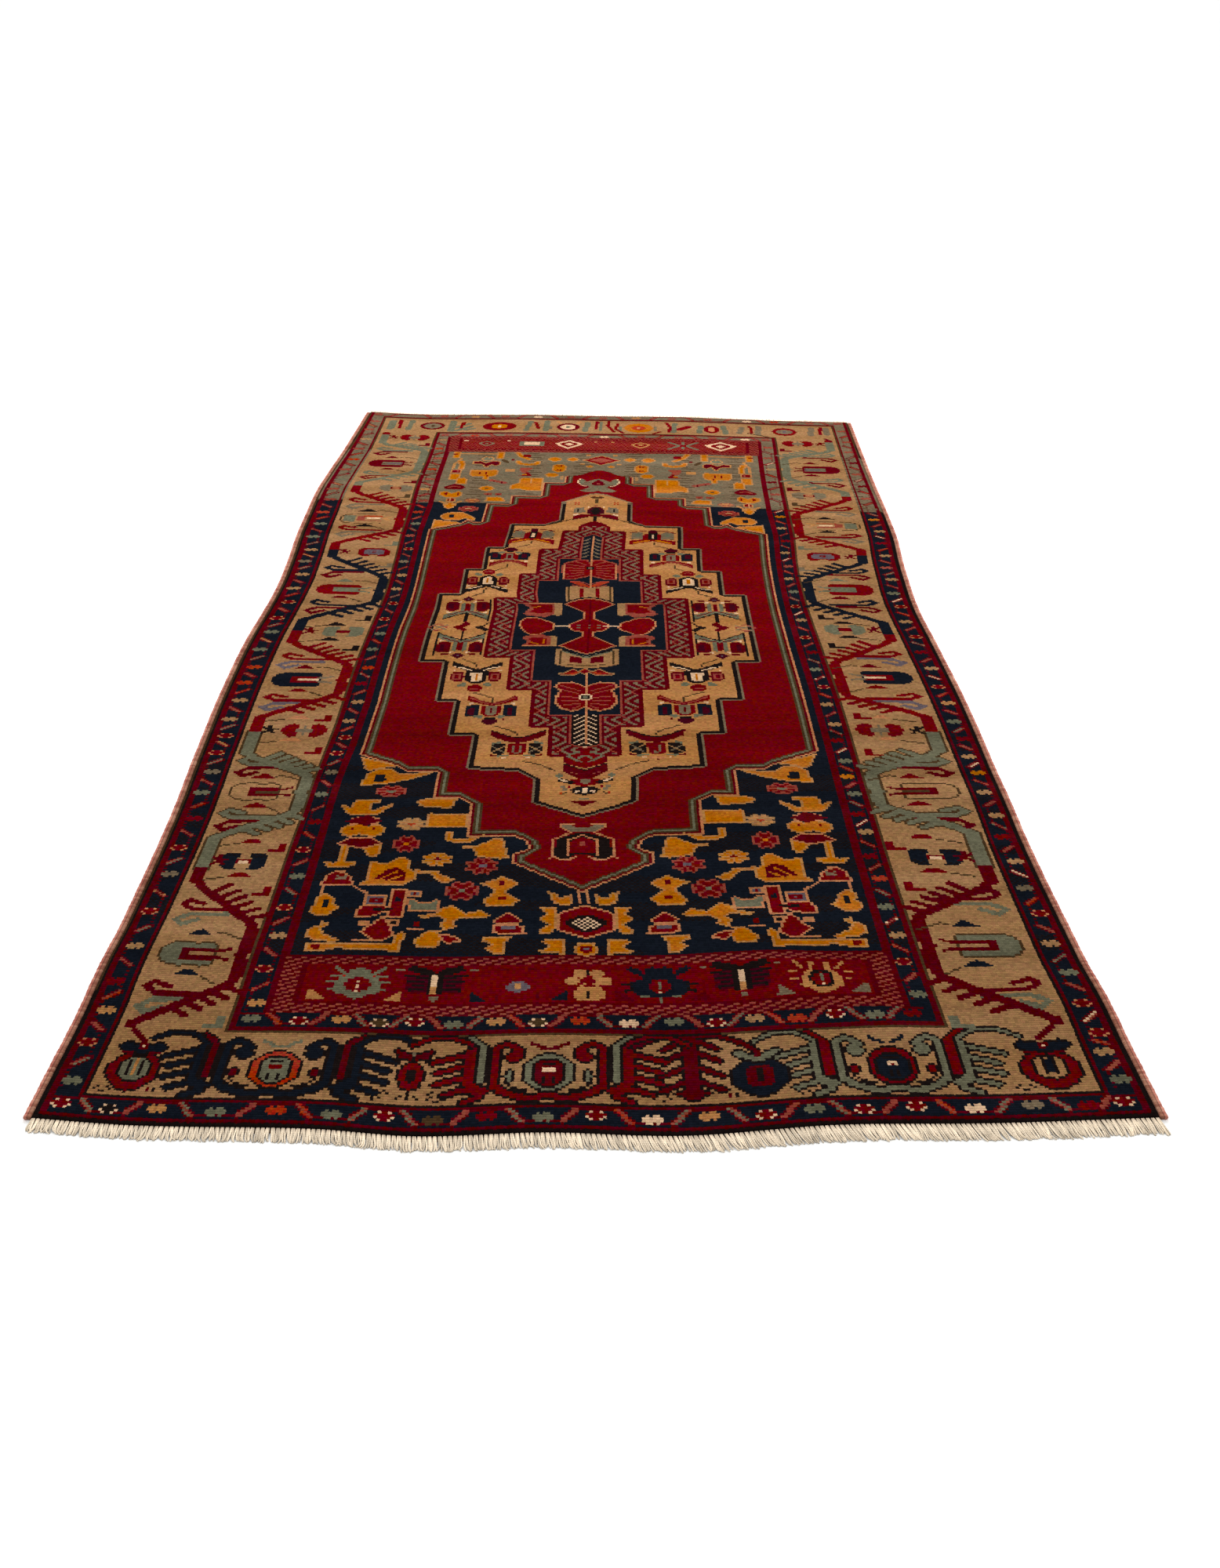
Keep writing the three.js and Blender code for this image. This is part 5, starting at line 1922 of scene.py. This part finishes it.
# The cord beside the pile is also painted browner, as part of its painted shade.
wrap_hue = spread(tree, outward, -0.2, 0.1, 0.512, 0.5)
tree.links.new(shade(tree, wrap_colour, value, wrap_hue), surface.inputs["Base Color"])
wrap_height = sums(tree, "MULTIPLY_ADD", twist, 0.25, sums(tree, "MULTIPLY_ADD", lint, 0.8, gap))
tree.links.new(node(tree, "Bump", {"Strength": 0.6, "Distance": 0.0008, "Height": wrap_height}),
               surface.inputs["Normal"])
surface.inputs["Roughness"].default_value = 0.9
surface.inputs["Specular IOR Level"].default_value = 0.05
surface.inputs["Sheen Weight"].default_value = 0.03
print(wrapped.name, "has", len(tree.nodes), "nodes")

# %% [markdown]
# One function makes both selvedges, with the side as a sign. Mirroring one of them would be shorter,
# but the rug's two sides wander in their own ways. The faces of one are turned round, so that both
# look outwards. A map that counts the turns goes with them for the finish.

# %% Selvedge pieces
for name, side in (("left", -1), ("right", 1)):
    rings, turns_and_sides = selvedge_points(side)
    faces = tube_faces(rings.shape[0], rings.shape[1], outwards=side > 0)
    selvedge = make_piece(f"wrapped_selvedge_{name}", rings.reshape(-1, 3) / 1000, faces, [wrapped])
    flat_map = turns_and_sides.reshape(-1, 2)
    corner_map(selvedge, "turns", flat_map[np.concatenate([np.array(face) for face in faces])])
    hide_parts(f"selvedge_{name}")
    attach(selvedge, "root")

# %% [markdown]
# The fringe is the warp itself: cream yarn that was cut when the rug came off the loom. Three ends
# leave the weave together at a small knot and fan out, so that the tips lie side by side as a soft
# even blanket. Each end is a thin five-sided tube carried along a bent path. To the right the ends
# were brushed over sideways, which the lean tables give along the rug's width.

# %% Fringe form
LOCKS = 224
ENDS_A_LOCK = 3
PATH_POINTS = 9
SIDES = 5
FRONT_LEAN = [
    (-650, -0.12), (-400, 0.1), (-150, 0.2), (-20, 0.35), (80, 0.6), (320, 0.6), (500, 0.5), (650, 0.25),
]
FAR_LEAN = [(-650, -0.1), (-200, 0.2), (200, -0.15), (650, 0.1)]
REACH = [(-650, 14), (-300, 15.5), (0, 17), (650, 19.5)]
CURL = [(-650, 2.4), (-100, 1.6), (100, 0.9), (650, 0.9)]
STRIP_DEPTH = 5


def uneven(i):
    """A repeatable unevenness between about -1 and 1: three sines of different pace."""
    return 0.5 * np.sin(i * 1.7) + 0.3 * np.sin(i * 4.1 + 1) + 0.2 * np.sin(i * 0.37)


def fringe_paths(end, lean, rise):
    """The middle line of every warp end, as ends by points by three, and its thickness.

    Sideways, an end starts at its place in the knot, moves out to its share of the blanket, and
    follows the lean, a small wave and a hooked tip. It leaves the pile's edge a few millimetres up,
    arches over the strip and comes down to the floor.
    """
    rng = np.random.default_rng(7 if end < 0 else 11)
    lock = np.repeat(np.arange(LOCKS), ENDS_A_LOCK)
    spot = np.tile((np.arange(ENDS_A_LOCK) + 0.5) / ENDS_A_LOCK - 0.5, LOCKS)
    count = len(lock)
    each = rng.normal(0, 1, (6, LOCKS))[:, lock]
    lock_width = PILE_WIDTH / LOCKS
    lock_x = -PILE_WIDTH / 2 + (lock + 0.5) * lock_width
    root_x = lock_x + spot * lock_width * 0.62
    length = curve(REACH, lock_x) * (1 + 0.05 * uneven(lock) + 0.035 * each[0])
    length = np.clip(length * rng.uniform(0.88, 1.06, count), 11, 24)
    slope = curve(lean, lock_x) + 0.07 * each[1] + rng.normal(0, 0.05, count)
    t = np.linspace(0, 1, PATH_POINTS)[None, :]
    fan = spot[:, None] * lock_width * (0.4 + 0.5 * rng.random((count, 1))) * np.sin(t * np.pi / 2)
    wave = (0.7 + 0.4 * each[2][:, None]) * np.sin(t * np.pi * (1.4 + 0.4 * each[3][:, None]))
    bent = curve(CURL, lock_x) * (each[4] + rng.normal(0, 0.8, count))
    hook = bent[:, None] * np.clip(t - 0.55, 0, 1) ** 1.5 * 3
    edge_x, edge_y = place(root_x, np.full(count, end * HALF_LENGTH, float))
    x = edge_x[:, None] + fan + wave * t + hook + slope[:, None] * length[:, None] * t**1.1
    eased = np.sin(1.25 * t * np.pi / 2) / np.sin(1.25 * np.pi / 2) * (1 - 0.1 * t)
    eased = 0.35 * eased + 0.65 * t
    y = edge_y[:, None] + end * (0.5 + (STRIP_DEPTH - 0.5 + length[:, None]) * eased)
    arch = rise + 0.2 * each[5][:, None] + 0.7 * rng.random((count, 1))
    z = 1.0 + 2.6 * (1 - t) ** 2 + arch * np.sin(t * np.pi) ** 0.8
    radius = rng.uniform(1.0, 1.25, (count, 1)) * (1 - 0.25 * t**6)
    return np.stack([x, y, z], axis=-1), radius


def fringe_tubes(paths, radius):
    """Rings across every path: sideways and upwards by the radius, turned a little each step."""
    twist = np.linspace(0, 2.2, PATH_POINTS)[None, :, None]
    angle = np.arange(SIDES)[None, None, :] * 2 * np.pi / SIDES + twist
    reach = radius[:, :, None]
    rings = np.repeat(paths[:, :, None, :], SIDES, axis=2)
    rings[..., 0] += reach * np.cos(angle)
    rings[..., 2] += reach * np.sin(angle)
    rings[..., 2] = np.maximum(rings[..., 2], 0.05)
    return rings


# %% Faces of the tubes and the strip of bare warps
def tube_block(count, rings, outwards):
    """Faces of many equal tubes, each with a cap at both ends."""
    one = grid_faces(rings, SIDES, closed=True)
    one = one if outwards else one[:, ::-1]
    starts = (np.arange(count) * rings * SIDES)[:, None, None]
    ring = np.arange(SIDES)
    caps = np.stack([ring[::-1], ring + (rings - 1) * SIDES])
    caps = caps if outwards else caps[:, ::-1]
    return (one[None] + starts).reshape(-1, 4).tolist() + (caps[None] + starts).reshape(-1, SIDES).tolist()


def strip_points(end):
    """The woven strip: a low rounded ridge along the rug's end, ribbed by its warps."""
    x = np.linspace(-PILE_WIDTH / 2, PILE_WIDTH / 2, PILE_WIDTH + 1)
    angle = np.linspace(0, np.pi, 5)
    out = 0.35 + (STRIP_DEPTH - 0.35) * (1 - np.cos(angle)) / 2
    edge_x, edge_y = place(x, np.full(len(x), end * HALF_LENGTH, float))
    rib = 0.3 * np.abs(np.sin(x * np.pi / 2.0))[:, None]
    up = 0.7 + (0.9 + rib) * np.sin(angle)[None, :]
    top = np.stack([np.repeat(edge_x[:, None], 5, 1), edge_y[:, None] + end * out[None, :], up], axis=-1)
    base = top[:, [4, 0]].copy()
    base[..., 2] = 0.0
    return np.concatenate([top, base], axis=1)


print("loose warps at each end of the rug:", LOCKS * ENDS_A_LOCK)

# %% [markdown]
# Warp yarn is cotton or pale wool of two plies. It is cream with a few darker and whiter ends, dusty,
# and painted brown as shade, where it meets the pile, with painted shade on the underside of every
# end, and its twist shows as fine slanting lines.

# %% Warp yarn finish
warp, tree, surface = new_finish("cream warp yarn")
warp_uv = node(tree, "UVMap", uv_map="ends")
along_end, which_end = [node(tree, "SeparateXYZ", (warp_uv,), out=k) for k in (0, 1)]
each_end = node(tree, "TexWhiteNoise", {"W": sums(tree, "FLOOR", which_end)}, noise_dimensions="1D")
upwards = sums(tree, "FRACT", which_end)
dust = node(tree, "TexNoise", {"Vector": node(tree, "TexCoord", out=3), "Scale": 60.0, "Detail": 4.0})
fluff = node(tree, "TexNoise", {"Vector": node(tree, "TexCoord", out=3), "Scale": 1400.0, "Detail": 2.0})
# The strip and the roots of the ends turn brown: partly dust, partly painted shade in the gaps between
# ends.
dust_and_shade = spread(tree, along_end, 0.0, 0.3, 0.9, 0.0)
warp_colour = node(tree, "Mix", {0: dust_and_shade, 6: linear((240, 222, 196)), 7: linear((112, 76, 50))}, out=2,
                   data_type="RGBA")
warp_value = spread(tree, each_end, 0, 1, 0.66, 1.12)
# The upwards term darkens the underside of every end: painted shade.
for part in (spread(tree, dust, 0.3, 0.7, 0.86, 1.1), spread(tree, fluff, 0.3, 0.7, 0.84, 1.12),
             spread(tree, upwards, 0.3, 0.75, 0.45, 1.04)):
    warp_value = sums(tree, "MULTIPLY", warp_value, part)
tree.links.new(shade(tree, warp_colour, warp_value), surface.inputs["Base Color"])
spiral = sums(tree, "MULTIPLY", along_end, 60.0)
ply = sums(tree, "SINE", sums(tree, "MULTIPLY_ADD", upwards, 5.0, spiral))
ply_height = sums(tree, "MULTIPLY_ADD", fluff, 0.8, ply)
tree.links.new(node(tree, "Bump", {"Strength": 0.5, "Distance": 0.0004, "Height": ply_height}),
               surface.inputs["Normal"])
surface.inputs["Roughness"].default_value = 0.92
surface.inputs["Specular IOR Level"].default_value = 0.05
surface.inputs["Sheen Weight"].default_value = 0.04
print(warp.name, "has", len(tree.nodes), "nodes")

# %% [markdown]
# Each fringe is one piece: the strip of bare warps and all its ends. A map goes with it. Its first
# number runs along an end, and its second counts the ends, with a part below one that tells up from
# down. The far fringe is arched more, since its ends were pushed up against the floor.

# %% Fringe pieces
def strip_faces(rows, around, outwards):
    """Quads round the strip, and its two end caps."""
    quads = grid_faces(rows, around, closed=True)
    quads = quads if outwards else quads[:, ::-1]
    ring = np.arange(around)
    caps = [ring[::-1].tolist(), (ring + (rows - 1) * around).tolist()]
    return quads.tolist() + (caps if outwards else [cap[::-1] for cap in caps])


def fringe_map(strip, tubes, paths, radius):
    """Two numbers a point: how far along its end it is, and its end's number with its upness."""
    along_strip = np.zeros(strip.size // 3)
    which_strip = np.repeat(np.arange(strip.shape[0]) // 4 + 0.5, strip.shape[1])
    along_tube = np.broadcast_to(np.linspace(0.15, 1, PATH_POINTS)[None, :, None], tubes.shape[:3]).ravel()
    upness = (tubes[..., 2] - paths[..., 2][:, :, None]) / radius[:, :, None]
    which_tube = 1000.5 + np.arange(len(paths))[:, None, None] + 0.4 * np.clip(upness, -1, 1)
    return np.stack([np.concatenate([along_strip, along_tube]),
                     np.concatenate([which_strip, which_tube.ravel()])], axis=-1)


for name, end, lean, rise in (("front", -1, FRONT_LEAN, 0.9), ("far", 1, FAR_LEAN, 2.6)):
    paths, radius = fringe_paths(end, lean, rise)
    tubes = fringe_tubes(paths, radius)
    tube_quads = tube_block(len(paths), PATH_POINTS, outwards=end < 0)
    strip = strip_points(end)
    offset = strip.size // 3
    all_points = np.vstack([strip.reshape(-1, 3), tubes.reshape(-1, 3)]) / 1000
    faces = strip_faces(strip.shape[0], strip.shape[1], outwards=end > 0)
    faces += [[corner + offset for corner in face] for face in tube_quads]
    piece = make_piece(f"fringe_{name}_ends", all_points, faces, [warp])
    loops = np.concatenate([np.array(face) for face in faces])
    corner_map(piece, "ends", fringe_map(strip, tubes, paths, radius)[loops])
    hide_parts(f"fringe_{name}")
    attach(piece, "root")

# %% [markdown]
# The floor is plain and pale, a flat square far larger than the rug, so that no edge of it shows.
# It is staging and isn't part of the rug.

# %% Floor
floor_finish, tree, surface = new_finish("pale floor")
grain = node(tree, "TexNoise", {"Vector": node(tree, "TexCoord", out=3), "Scale": 3.0, "Detail": 3.0})
tree.links.new(shade(tree, linear((252, 252, 250)), spread(tree, grain, 0.3, 0.7, 0.99, 1.01)),
               surface.inputs["Base Color"])
surface.inputs["Roughness"].default_value = 0.8
surface.inputs["Specular IOR Level"].default_value = 0.1
FLOOR_REACH = 60
floor_corners = np.array([[-1, -1, 0], [1, -1, 0], [1, 1, 0], [-1, 1, 0]], float) * FLOOR_REACH
floor = make_piece("floor", floor_corners, np.array([[0, 1, 2, 3]]), [floor_finish])

# %% [markdown]
# The light is soft and plain: a bright even surrounding and one large lamp overhead, so that the rug
# lies in a very light shadow of its own. The standard view keeps the wools' colours as chosen.

# %% Light
world = bpy.data.worlds.new("studio")
world.use_nodes = True
world.node_tree.nodes["Background"].inputs["Color"].default_value = (1.0, 1.0, 1.0, 1.0)
world.node_tree.nodes["Background"].inputs["Strength"].default_value = 1.06
bpy.context.scene.world = world
bpy.context.scene.view_settings.view_transform = "Standard"


def soft_lamp(name, at, size, power):
    """A large square lamp that shines straight down, as every lamp does before it is turned."""
    data = bpy.data.lights.new(name, "AREA")
    data.shape = "SQUARE"
    data.size = size
    data.energy = power
    lamp = bpy.data.objects.new(name, data)
    bpy.context.scene.collection.objects.link(lamp)
    lamp.location = at


soft_lamp("overhead lamp", (0.0, 2.3, 2.8), 3.0, 135)
print("studio light ready")
